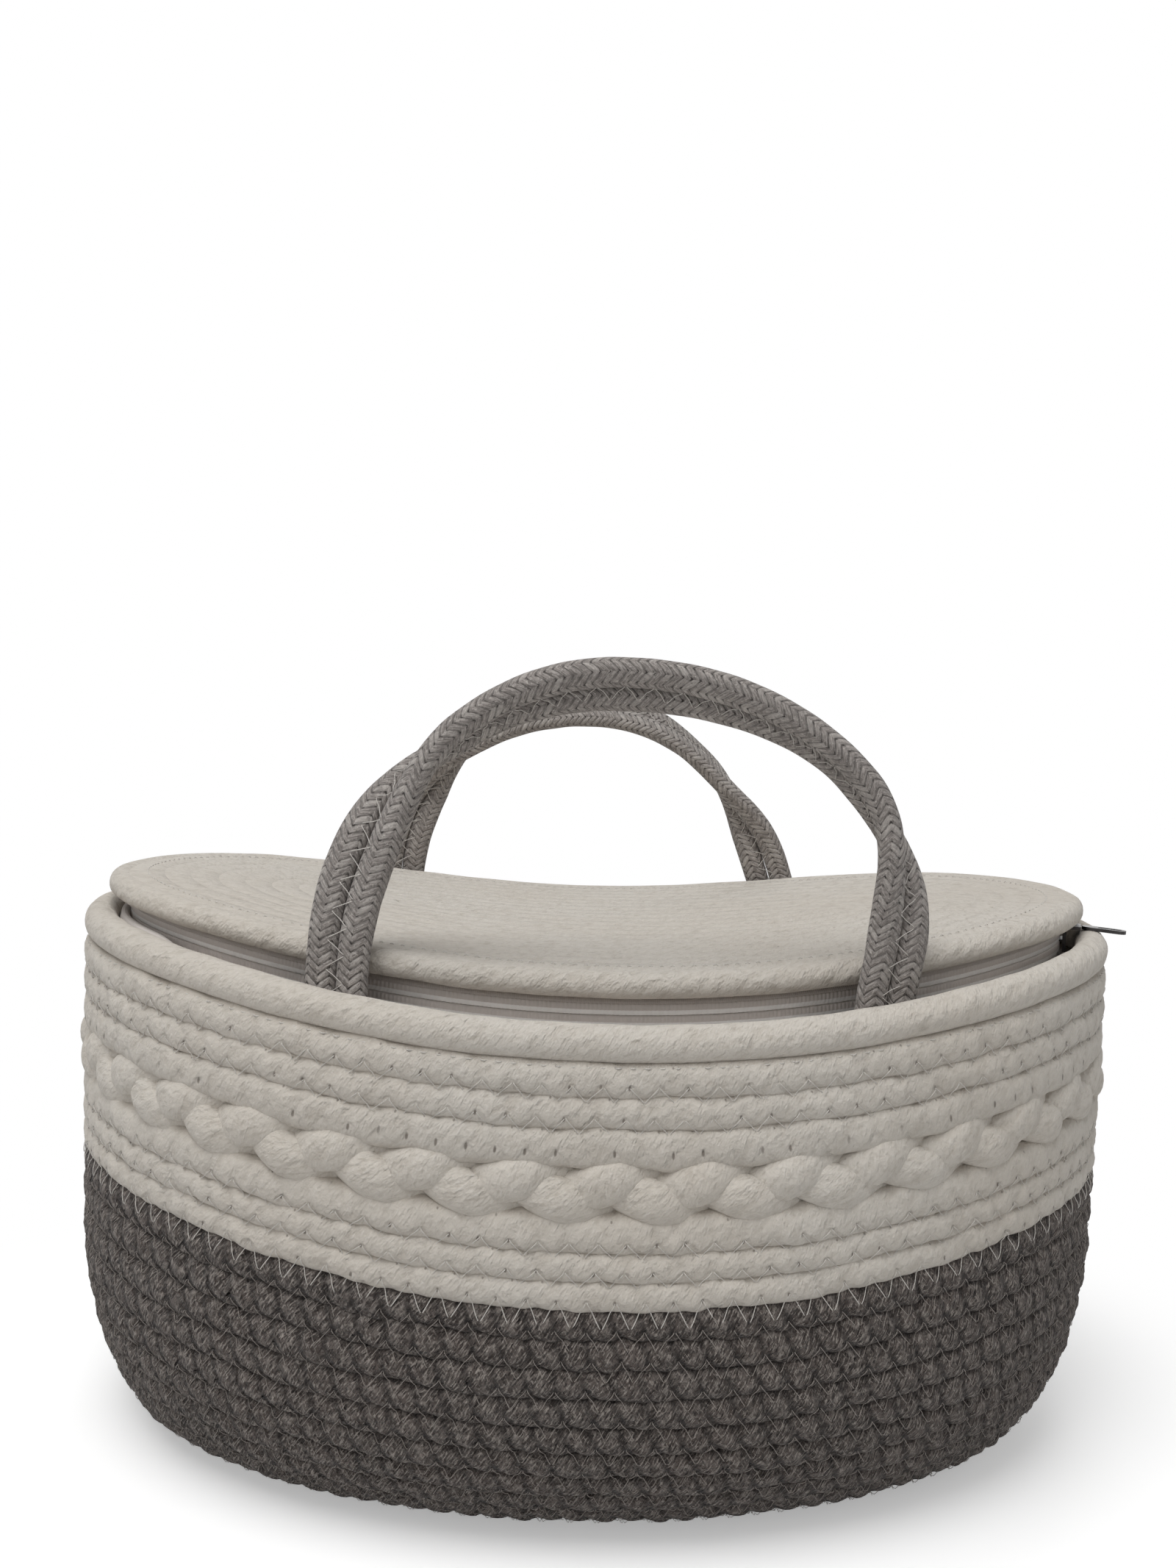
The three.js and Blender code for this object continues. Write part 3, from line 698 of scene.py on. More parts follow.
def thread_grooves(finish, u, v, low, high):
    """Hollows that the zig-zag thread pulls into a row, from its needle holes down to the crease"""
    place = abs((u / STITCH).fract() - 0.5) * 2.0
    off = v - (high - place * (high - low)) + (finish.noise(260) - 0.5) * 0.03
    return abs(off).step(0.055, 0.0) * v.step(high + 0.03, high)


def ivory_finish(finish, streaks, sewn):
    u, v = finish.uv()
    w = v * GIRTH
    drawn_in = thread_grooves(finish, u, v, 0.35, 0.465) if sewn else None
    tufts, hairs, soft = fuzzy(finish, u, w, 0.65, drawn_in)
    fibres = finish.strokes(u, w, 24, 0.004, 0.0007, 3.0)
    base = finish.coats(
        "ivory",
        (finish.noise(14).step(0.3, 0.7) * 0.6, "ivory_warm"),
        (fibres.step(0.5, 0.25) * streaks, "ivory_shade"),
        (soft.step(0.5, 0.3) * 0.3, "ivory_shade"),
        (tufts.step(0.48, 0.25) * 0.35, "ivory_shade"),
        (hairs.step(0.56, 0.75) * 0.5, "ivory_light"))
    if sewn:
        base = finish.coats(
            base,
            # painted shade in the creases between rows
            (abs(v - 0.5).step(0.11, 0.185) * 0.25, "ivory_crease_shade"),
            # painted shade inside the needle holes
            (needle_hole_shade(finish, u, v, -0.035, 0.0, 0.6, 0.3) * 0.75, "pinhole_shade"),
            (needle_hole_shade(finish, u, v, 0.135, 0.5, 0.45, 0.4) * 0.6, "pinhole_shade"))
    finish.set(Base_Color=base)


def grey_finish(finish):
    u, v = finish.uv()
    w = v * GIRTH
    drawn_in = thread_grooves(finish, u, v, 0.33, 0.465)
    tufts, hairs, soft = fuzzy(finish, u, w, 2.0, drawn_in)
    patches = finish.noise(45, 3.0, 0.6)
    crossing = finish.strokes(u, w, -50, 0.0018, 0.0005)
    clumps = finish.strokes(u, w, 55, 0.0045, 0.0018, 3.0)
    off = abs(v - 0.5)
    place = (u / STITCH - 0.5 - (v * TURN).math("SINE") * PUCKER_LEAN + (soft - 0.5) * 0.25) * TURN
    drawn = (place.math("COSINE") * 0.5 + 0.5).step(0.72, 1.0)
    finish.set(Base_Color=finish.coats(
        "grey_dark",
        (clumps.step(0.4, 0.6), "grey"),
        (patches.step(0.4, 0.7) * 0.35, "grey_warm"),
        (soft.step(0.5, 0.3) * 0.4, "grey_dark"),
        (tufts.step(0.5, 0.7) * 0.5, "grey_pale"),
        (hairs.step(0.53, 0.66) * 0.95, "grey_pale"),
        (crossing.step(0.57, 0.7) * 0.8, "grey_pale"),
        (hairs.step(0.44, 0.32) * 0.8, "grey_dark_fleck_and_shade"),
        (crossing.step(0.4, 0.28) * 0.7, "grey_dark_fleck_and_shade"),
        # painted shade in the creases, the thread grooves, the puckers and the needle holes
        (off.step(0.12, 0.19) * 0.55, "grey_dark_fleck_and_shade"),
        (drawn_in * 0.3, "grey_dark_fleck_and_shade"),
        (drawn * off.step(0.27, 0.12) * 0.5, "grey_dark_fleck_and_shade"),
        (needle_hole_shade(finish, u, v, -0.035, 0.0, 1.1, 0.05) * 0.6, "grey_dark_fleck_and_shade")))


def braid_finish(finish):
    """Herringbone sleeve: slanting yarns in columns that lean by turns to one side and the other"""
    chevron = bpy.context.scene.caddy_handles.chevron
    u, v = finish.uv()
    column = v * BRAID_ARMS
    arm = column.floor()
    inside = column - arm
    odd = arm.math("MODULO", 2.0)
    slant = odd * inside + (1.0 - odd) * (1.0 - inside)
    phase = u / chevron - slant * (BRAID_LEAN / chevron)
    gap = abs(phase.fract() - 0.5) * 2.0
    tip = inside.math("MINIMUM", 1.0 - inside) * 2.0
    yarn = finish.random(phase.floor(), arm)
    plies = finish.noise(1.0, 3.0, 0.6, finish.vector(phase * 5.0, slant * 1.6 + arm * 7.3))
    flecks = finish.noise(1300, 3.0, 0.65)
    heather = finish.strokes(u, v * GIRTH, 30, 0.006, 0.0016, 3.0)
    # Painted shade in the slits where the yarns part
    slit_shade = gap.step(0.55, 0.92) * tip.step(0.5, 0.12) * yarn.step(0.2, 0.7)
    height = (1.0 - gap * gap * gap) * (tip.step(-0.3, 0.55) * 0.6 + 0.4) + plies * 0.3
    base = finish.coats(
        "handle_dark",
        (plies.step(0.36, 0.62), "handle"),
        (yarn.step(0.55, 1.0) * 0.35, "handle_pale"),
        (flecks.step(0.55, 0.7) * 0.7, "handle_pale"),
        (flecks.step(0.42, 0.3) * 0.5, "handle_dark_fleck_and_slit_shade"),
        (heather.step(0.5, 0.3) * 0.6, "handle_dark"),
        # painted shade in the grooves between the yarns and in the slits
        (gap.step(0.78, 1.0) * 0.55, "handle_dark"),
        (slit_shade * 0.95, "handle_dark_fleck_and_slit_shade"))
    normal = finish.bumps((heather, 0.0005, 0.6), (height, 0.0006, 0.9), (flecks, 0.0004, 0.6))
    finish.set(Base_Color=base, Normal=normal, Roughness=0.93, Sheen_Weight=0.15, Sheen_Roughness=0.6,
               Specular_IOR_Level=0.08)


def thread_finish(finish, colour, shade):
    u, v = finish.uv()
    ply = abs((u * 1200 + v).fract() - 0.5)
    finish.set(Base_Color=finish.coats(colour, (ply.step(0.1, 0.5) * 0.35, shade)),
               Normal=finish.bumps((ply, 0.00006, 0.8)), Roughness=0.7, Sheen_Weight=0.2,
               Sheen_Roughness=0.5, Specular_IOR_Level=0.3)


def tape_finish(finish):
    u, v = finish.uv()
    weave = abs((u * 1500).fract() - 0.5) + abs((v * 55).fract() - 0.5)
    worn = finish.noise(60, 3.0).step(0.4, 0.7) * 0.2
    base = finish.coats("tape_shade", (weave.step(0.25, 0.8) * 0.3, "tape"), (worn, "tape_shade"))
    finish.set(Base_Color=base, Normal=finish.bumps((weave, 0.0002, 0.7)), Roughness=0.85,
               Sheen_Weight=0.2, Sheen_Roughness=0.5, Specular_IOR_Level=0.25)


def nylon_finish(finish):
    """Teeth under their tape, with a bright line of bare nylon along the lower edge"""
    v = finish.uv()[1]
    scuffs = finish.noise(500, 3.0)
    bare = v.step(0.76, 0.80) * v.step(0.995, 0.975)
    base = finish.coats("tape_shade", (bare, "teeth"), (scuffs.step(0.4, 0.7) * 0.15, "tape_shade"))
    finish.set(Base_Color=base, Normal=finish.bumps((scuffs, 0.0001, 0.5)),
               Roughness=scuffs.step(0.2, 0.9) * 0.25 + 0.35)


def metal_finish(finish):
    grain = finish.noise(1600, 3.0)
    worn = finish.noise(220, 3.0)
    finish.set(Base_Color=finish.coats("metal_shade", (worn.step(0.45, 0.7) * 0.5, "metal")), Metallic=0.9,
               Roughness=grain * 0.2 + 0.25, Normal=finish.bumps((grain, 0.00006, 0.4)))


def floor_finish(finish):
    """Pale floor that keeps the shadow near the caddy and fades into the white farther off"""
    seen = finish.seen()
    colour = finish.colours.floor
    grain = finish.noise(40, 3.0).step(0.2, 0.8) * 0.03
    pale = finish.coats(colour, (grain, scaled(colour, 0.97)))
    finish.set(Base_Color=finish.coats(scaled(colour, 0.75), (seen, pale)), Roughness=0.9,
               Emission_Color=WHITE, Emission_Strength=seen * 0.35, Specular_IOR_Level=0.0)
    x, y = finish.split(finish.place())
    reach = (x * x / (LENGTH / 2) ** 2 + y * y / (WIDTH / 2) ** 2).math("SQRT")
    white = finish.add("ShaderNodeEmission", None, {"Color": WHITE, "Strength": 1.0})
    near = Socket(finish, finish.shader.outputs[0])
    mixed = finish.add("ShaderNodeMixShader", None, {0: seen * reach.step(1.0, 1.75), 1: near, 2: white})
    finish.feed(finish.tree.nodes["Material Output"].inputs["Surface"], mixed)


# Each material's function and the values it takes
FINISHES = {
    "ivory_cotton": (ivory_finish, 0.3, True),
    "felted_ivory": (ivory_finish, 0.6, False),
    "grey_heather": (grey_finish,),
    "handle_braid": (braid_finish,),
    "pale_thread": (thread_finish, "thread", "thread_shade"),
    "grey_thread": (thread_finish, "grey_pale", "grey"),
    "woven_tape": (tape_finish,),
    "zip_nylon": (nylon_finish,),
    "dark_metal": (metal_finish,),
    "pale_floor": (floor_finish,),
}


def material(name):
    """One of the caddy's materials, made when it's first asked for"""
    found = bpy.data.materials.get(name)
    if found is None:
        found = bpy.data.materials.new(name)
        make, *values = FINISHES[name]
        make(Finish(found), *values)
    return found


# Settings that a user would change
def colour_prop(name, description, *screen):
    return FloatVectorProperty(name=name, description=description, subtype="COLOR", size=4, min=0, max=1,
                               default=linear(screen))


def length_prop(name, description, default, least=0.0):
    return FloatProperty(name=name, description=description, default=default, min=least, unit="LENGTH")


class CaddyColours(bpy.types.PropertyGroup):
    ivory: colour_prop("Ivory", "Undyed cotton of the upper rows and the lid", 212, 206, 197)
    ivory_warm: colour_prop("Warm ivory", "Slow change of the ivory cotton", 207, 199, 188)
    ivory_light: colour_prop("Light fibres", "Loose fibres on the ivory cotton", 228, 223, 216)
    ivory_shade: colour_prop("Ivory shade", "Ivory between its fibres", 180, 171, 159)
    # Painted shade: darker ivory laid into the creases between rows
    ivory_crease_shade: colour_prop("Ivory crease", "Ivory in the creases between rows", 150, 137, 123)
    # Painted shade: the dark inside of the needle holes
    pinhole_shade: colour_prop("Pinhole", "Needle holes in the ivory rows", 104, 93, 84)
    grey: colour_prop("Grey", "Grey heather cotton of the lower rows", 110, 102, 97)
    grey_warm: colour_prop("Warm grey", "Slow change of the grey cotton", 108, 96, 90)
    grey_dark: colour_prop("Dark grey", "Dark fibres of the grey cotton", 73, 66, 62)
    grey_pale: colour_prop("Pale fleck", "Pale fibres of the grey cotton", 164, 156, 149)
    # Dark flecks of the grey cotton, and painted shade in its creases, thread grooves, puckers and needle
    # holes
    grey_dark_fleck_and_shade: colour_prop("Grey crease", "Grey cotton in the creases and slits", 36, 31, 30)
    handle: colour_prop("Handle", "Grey yarn of the handles", 170, 163, 158)
    # Also painted shade in the grooves between the handle's yarns
    handle_dark: colour_prop("Dark handle yarn", "Dark fibres of the handles", 124, 118, 114)
    handle_pale: colour_prop("Pale handle fleck", "Pale fibres of the handles", 208, 202, 196)
    # Dark flecks of the handle yarn, and painted shade in the slits between the yarns
    handle_dark_fleck_and_slit_shade: colour_prop("Handle slit", "Gaps between the handle's yarns", 44, 39, 37)
    thread: colour_prop("Thread", "Sewing thread of the rows", 214, 210, 204)
    thread_shade: colour_prop("Thread shade", "Thread between its plies", 176, 170, 162)
    tape: colour_prop("Zip tape", "Woven zip tape and hinge cloth", 238, 232, 227)
    tape_shade: colour_prop("Zip tape shade", "Zip tape between its threads", 206, 199, 194)
    teeth: colour_prop("Zip teeth", "Nylon coil of the zip", 248, 247, 245)
    metal: colour_prop("Metal", "Slider, pull and stops", 96, 94, 94)
    metal_shade: colour_prop("Metal shade", "Darker places of the metal", 58, 56, 56)
    floor: colour_prop("Floor", "Pale floor under the caddy", 250, 250, 250)


class CaddyRopes(bpy.types.PropertyGroup):
    unevenness: length_prop("Unevenness", "How far the rows swell and narrow", 0.0003)
    pin: length_prop("Dimple width", "Width of the dimples round the stitches", 0.0012, 0.0005)
    pin_depth: length_prop("Dimple depth", "Depth of the dimples round the stitches", 0.0008)
    thread: length_prop("Thread", "Radius of the sewing thread", 0.00014, 0.00005)
    pucker: length_prop("Pucker", "How far each stitch draws a grey row in", 0.0010)
    squash: length_prop("Squash", "How far neighbouring rows press into each other", 0.0010)
    strand_height: length_prop("Strand height", "Height of a strand of the plait", 0.0126, 0.004)
    strand_depth: length_prop("Strand depth", "Depth of a strand of the plait", 0.0078, 0.002)


class CaddyHandles(bpy.types.PropertyGroup):
    chevron: length_prop("Chevron", "Distance from one chevron to the next", 0.0027, 0.001)
    turn: FloatProperty(name="Turn", description="Turn of the two ropes about each other at the top",
                        default=math.radians(132), unit="ROTATION")


class CaddyStage(bpy.types.PropertyGroup):
    sky: FloatProperty(name="Sky", description="Level of the even light all round", default=0.27, min=0)
    key: FloatProperty(name="Key", description="Power of the lamps, which each take a share of it",
                       default=9.0, min=0, unit="POWER")
    lens: FloatProperty(name="Focal length", description="Focal length over an image 36 mm high",
                        default=31.96, min=1, unit="CAMERA")


def put_on(piece, body, slot, *nodes, bend=None):
    """Let a piece ride on a body, or, where a bend is given, bake its place into its mesh instead"""
    if bend:
        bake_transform(piece)
    else:
        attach(piece, body)
    if nodes:
        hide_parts(*nodes)


class CADDY_OT_base(bpy.types.Operator):
    """Wind the flat base from the grey rope"""
    bl_idname = "caddy.base"
    bl_label = "Base"

    def execute(self, context):
        course = coil(wall_point, -BASE_REACH, BASE_PITCH, BASE_TURNS, BASE_STEP)
        look = rope_look(10, 2.6, 0.0, BASE_ROPE / 2)
        put_on(row_piece("base_rope", course, "grey_heather", look, 3), "basket", "grey_rope", "base_coil")
        return {"FINISHED"}


class CADDY_OT_wall(bpy.types.Operator):
    """Wind the wall's grey and ivory rows and sew them together"""
    bl_idname = "caddy.wall"
    bl_label = "Wall rows"

    def execute(self, context):
        ropes = context.scene.caddy_ropes
        sewn_hard = rope_look(16, 2.2, ropes.pucker)
        sewn_soft = rope_look(18, 2.4, ropes.pucker * 0.4)
        grey = (GREY_STEP, sewn_hard, "grey_heather", ropes.thread * 0.7, "grey_thread", "grey_rope")
        ivory = (ROW_STEP, sewn_soft, "ivory_cotton", ropes.thread, "pale_thread", "ivory_rope")
        rows = (
            ("grey", "grey_wall_coil", 0, GREY_PITCH, GREY_TURNS, *GREY_DROPS, *grey),
            ("lower_ivory", "lower_ivory_coil", GREY_TOP, LOWER_PITCH, LOWER_TURNS, *LOWER_DROPS, *ivory),
            ("upper_ivory", "upper_ivory_coil", PLAIT_TOP, UPPER_PITCH, UPPER_TURNS, *UPPER_DROPS, *ivory))
        for i, (name, node, start, pitch, count, first_drop, drop, *kind) in enumerate(rows):
            step, look, finish, radius, sewing, slot = kind
            course = coil(wall_point, start, pitch, count, step)
            turns = wound(course.angle)
            if name == "lower_ivory":
                course.high = course.high + PLAIT_PRESS * smooth((turns - count + 1) / JOIN)
            if name == "upper_ivory":
                course.low = course.low + PLAIT_PRESS * smooth((1 - turns) / JOIN)
            later = course.angle > COIL_START + TURN
            own = np.arange(STITCH / 2, course.length, STITCH)
            dips = own[:-1] + STITCH / 2
            above = marks_below(course, dips[dips > course.metres[later][0]])
            piece = row_piece(f"{name}_rows", course, finish, look, 11 + i, own, above)
            put_on(piece, "basket", slot, node)

            points, outs = zigzag(course, look, np.where(later, drop, first_drop), 21 + i)
            if name == "upper_ivory":
                first = np.searchsorted(course.metres, course.length / count)
                hidden = int(len(points) * first / len(course.metres))
                points, outs = points[hidden:], outs[hidden:]
            points[:, 2] = np.maximum(points[:, 2], ropes.thread)
            put_on(thread(f"{name}_row_stitches", points, outs, radius, sewing), "basket", slot)
        return {"FINISHED"}


class CADDY_OT_plait(bpy.types.Operator):
    """Plait three thick strands round the wall"""
    bl_idname = "caddy.plait"
    bl_label = "Plait"

    def execute(self, context):
        ropes = context.scene.caddy_ropes
        angles = dense_angles(COIL_START + 0.001 * TURN, COIL_START + 0.999 * TURN)
        runs = PLAIT_FOOT + PLAIT_HEIGHT / 2 + LOWER_PITCH * jog(wound(angles))
        halves = ropes.strand_depth / 2, ropes.strand_height / 2, ropes.strand_height / 2
        for strand in range(3):
            course = Course(wall_point, angles, runs, PLAIT_HEIGHT, ROW_STEP)
            phase = course.metres / course.length * PLAIT_REPEATS * TURN + strand * TURN / 3
            course.point = (course.point + course.across * (PLAIT_SWING * np.sin(phase))[:, None]
                            + course.out * (PLAIT_WEAVE * np.sin(2 * phase + 0.35) - PLAIT_SINK)[:, None])
            course.along = unit(np.gradient(course.point, axis=0))
            course.out = square(course.out, course.along)
            course.across = np.cross(course.out, course.along)
            swell = 0.07 * np.sin(2 * phase + 0.7)[:, None]
            piece = rope_piece(f"plait_strand_{strand + 1}", course, "felted_ivory", 20, halves, 2.1,
                               (41 + strand, 8, 0.02, 0.009, 0.05), swell)
            put_on(piece, "basket", "ivory_rope", f"braid_strand_{strand + 1}")
        return {"FINISHED"}


class CADDY_OT_rim(bpy.types.Operator):
    """Wind the thick rim rope, its tail tapered down, with its stitches"""
    bl_idname = "caddy.rim"
    bl_label = "Rim"

    def execute(self, context):
        angles = dense_angles(COIL_START, COIL_START + TURN)
        climb = jog(wound(angles))
        runs = RIM_FOOT + UPPER_PITCH * climb + lerp(1, RIM_TAIL, climb) * RIM_ROPE / 2
        course = Course(wall_point, angles, runs, RIM_ROPE, RING_STEP)
        size = lerp(1, RIM_TAIL, jog(wound(course.angle)))
        course.point = course.point - course.out * ((RIM_ROPE - WALL_ROPE) / 2 * size)[:, None]
        halves = (size * RIM_ROPE / 2,) * 3
        piece = rope_piece("rim_row", course, "felted_ivory", 28, halves, 2.15, (51, 9, 0.02, 0.007, 0.06))
        put_on(piece, "basket", "ivory_rope", "rim_rope")

        runs = RIM_FOOT - RIM_SEAM_DROP + UPPER_PITCH * climb
        seam = Course(wall_point, angles, runs, RIM_ROPE, RIM_DASH / 8)
        height = RIM_SEAM_HEIGHT + RIM_SEAM_WAVE * np.sin(TURN * seam.metres / RIM_DASH)
        line = thread("rim_stitches", seam.point + seam.out * height[:, None], seam.out,
                      context.scene.caddy_ropes.thread * 1.4, "pale_thread")
        put_on(line, "basket", "ivory_rope")
        return {"FINISHED"}


class CADDY_OT_lid(bpy.types.Operator):
    """Wind the felted lid, roll its edge and sew it"""
    bl_idname = "caddy.lid"
    bl_label = "Lid"

    def execute(self, context):
        radius = context.scene.caddy_ropes.thread
        start = -LID_EDGE_ROPE - SEAT - LID_PITCH * LID_TURNS
        course = coil(lid_point, start, LID_PITCH, LID_TURNS, LID_STEP, tapered=True)
        halves = LID_ROPE / 2, course.high + LID_SQUASH, course.low + LID_SQUASH
        piece = rope_piece("lid_rows", course, "felted_ivory", 12, halves, 6.0, (61, 7, 0.03, 0.02, 0.12))
        put_on(piece, "lid", "ivory_rope", "lid_coil")

        angles = dense_angles(COIL_START, COIL_START + TURN)
        half = LID_EDGE_ROPE / 2
        edge = Course(lid_point, angles, -half, LID_EDGE_ROPE, RING_STEP)
        piece = rope_piece("lid_rolled_edge", edge, "felted_ivory", 24, (half, half, half + EDGE_SAG), 2.2,
                           (62, 7, 0.02, 0.01, 0.06), ring=True)
        put_on(piece, "lid", "ivory_rope", "lid_edge_rope")

        start, end = np.interp([WHIP_START, WHIP_END], edge.angle, edge.metres)
        metres = np.arange(start, end, WHIP_PITCH / 9)
        point, across, out, _ = edge.at(metres)
        angle = (TURN * metres / WHIP_PITCH)[:, None]
        away = across * np.cos(angle) + out * np.sin(angle)
        whip = thread("lid_edge_stitches", point + away * half, away, radius * 0.7, "pale_thread", 3)
        put_on(whip, "lid", "ivory_rope")

        seam = Course(lid_point, angles, LID_SEAM_RUN, LID_EDGE_ROPE, 0.0006)
        height = LID_ROPE / 2 - LID_SEAM_SINK + LID_SEAM_WAVE * np.sin(TURN * seam.metres / LID_DASH)
        line = thread("lid_seam_stitches", seam.point - seam.out * height[:, None], -seam.out, radius,
                      "pale_thread")
        put_on(line, "lid", "ivory_rope")
        return {"FINISHED"}


def zip_line(start, end, step):
    course = Course(zip_point, dense_angles(start, end), 0, 0.01, step)
    level = course.along * np.array([1, 1, 0])
    course.away = np.cross(unit(level), np.array([0, 0, 1]))
    return course


def strip(name, course, outline, finish):
    """A strip along the zip line; its outline gives out and height above the lid's underside"""
    shape = np.concatenate([outline, outline[:, :1]], axis=1)
    points = course.point[:, None, :] + course.away[:, None, :] * shape[:, :, :1]
    points[:, :, 2] = lid_bottom(points[:, :, 0]) + shape[:, :, 1]
    return skin(name, points, course.length, finish)


def band(line):
    """Closed outline of a thin band round a middle line of out and height places"""
    along = unit(np.gradient(line, axis=1))
    side = np.stack([along[..., 1], -along[..., 0]], -1) * TAPE_CLOTH / 2
    return np.concatenate([line + side, (line - side)[:, ::-1]], axis=1)


def hanging_line(course, top, ledge, fold):
    """Cloth below the zip: upright at first, then out to the wall, nearly level where the ledge is 1"""
    ring = wall_point(np.linspace(0, TURN, 361), np.full(361, RIM_FOOT))
    gaps = np.linalg.norm(course.point[:, None, :2] - ring[None, :, :2], axis=-1)
    reach = gaps.min(axis=1) - WALL_ROPE / 2 - TAPE - CHORD_ROOM
    foot = RIM_CHAIN_FOOT - TAPE_DROP
    knee = RIM_CHAIN_FOOT - TAPE_SEAM
    share = np.linspace(0, 1, 16)
    height = lerp(top, foot, share)
    lean = smooth((knee - height + 0.002) / (knee - foot + 0.002))
    steep = np.stack([reach[:, None] * lean[None, :], np.tile(height, (len(reach), 1))], -1)
    turn = math.pi / 2 * smooth((share - 0.1) / 0.5)
    low = RIM_CHAIN_FOOT - 0.0028
    flat_out = reach[:, None] * np.sin(turn)[None, :]
    flat_height = np.where(share < 0.1, lerp(top, low, share / 0.1), low - 0.001 * smooth(share / 0.6))
    flat_height = flat_height + (foot - flat_height) * smooth((share - 0.6) / 0.4)
    flat_height = np.tile(flat_height, (len(reach), 1))
    hump = np.sin(math.pi * np.clip((share - 0.12) / 0.5, 0, 1)) ** 2
    flat_height = flat_height + fold[:, None] * TAPE_FOLD * hump[None, :]
    flat = np.stack([flat_out, flat_height], -1)
    return lerp(steep, flat, ledge[:, None, None])


class CADDY_OT_zip(bpy.types.Operator):
    """Make the zip: two tapes, two rows of teeth, the hinge cloth and the metal parts"""
    bl_idname = "caddy.zip"
    bl_label = "Zip"

    def execute(self, context):
        end = 1.5 * TURN - ZIP_END
        course = zip_line(ZIP_END, end, TAPE_STEP)
        flange = np.array([(-TAPE_FLANGE, 0), (-TAPE_FLANGE / 2, 0), (-TAPE, 0), (-TAPE / 4, -0.0002),
                           (TAPE / 4, -0.0008), (TAPE / 4, -0.0016)]) + (0, FLANGE_TOP - TAPE / 2)
        tape = strip("lid_tape", course, band(np.tile(flange, (len(course.point), 1, 1))), "woven_tape")
        put_on(tape, "lid", "zip_tape", "lid_zip_tape")

        x = course.point[:, 0]
        ledge = smooth((np.abs(np.abs(x) - HANDLE_SPAN / 2) - HANDLE_CLEAR) / HANDLE_CLEAR_FADE)
        fold = smooth((-x - HANDLE_SPAN / 2 - FOLD_START) / FOLD_START)
        line = hanging_line(course, RIM_CHAIN_FOOT - SEAT, ledge, fold)
        put_on(strip("rim_tape", course, band(line), "woven_tape"), "basket", "zip_tape", "rim_zip_tape")

        back = zip_line(TURN / 2 - HINGE_END, HINGE_END, TAPE_STEP)
        none = np.zeros(len(back.point))
        line = hanging_line(back, FLANGE_TOP - SEAT, none, none)
        cloth = strip("hinge_cloth", back, band(line), "woven_tape")
        bend = LID_PIVOT_Z - HINGE_BEND_LOW, LID_PIVOT_Z - HINGE_BEND_HIGH
        put_on(cloth, "lid", "zip_tape", "hinge_tape", bend=bend)

        course = zip_line(ZIP_END, end, TEETH_PITCH / 4)
        angle = TURN * np.linspace(0, 1, 13)[:-1]
        flat_out, flat_up = squared(angle, 0.5)
        meeting = (LID_CHAIN_FOOT + RIM_CHAIN_TOP) / 2
        for name, body, foot, top, node, lean in (
                ("lid_zip_teeth", "lid", meeting, LID_CHAIN_TOP, "lid_zip_chain", 1),
                ("rim_zip_teeth", "basket", RIM_CHAIN_FOOT, meeting, "rim_zip_chain", -1)):
            ribs = 0.88 + 0.12 * np.sin(TURN * course.metres[:, None] / TEETH_PITCH + lean * angle / 2)
            away = CHAIN_DEPTH / 2 * flat_out * ribs
            height = (foot + top) / 2 + (top - foot) / 2 * flat_up * np.ones_like(ribs)
            teeth = strip(name, course, np.stack([away, height], -1), "zip_nylon")
            put_on(teeth, body, "zip_coil", node)
        for node in ("zip_slider", "zip_pull", "zip_stop_left", "zip_stop_right"):
            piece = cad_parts[node]
            piece.data.materials.clear()
            piece.data.materials.append(material("dark_metal"))
        return {"FINISHED"}


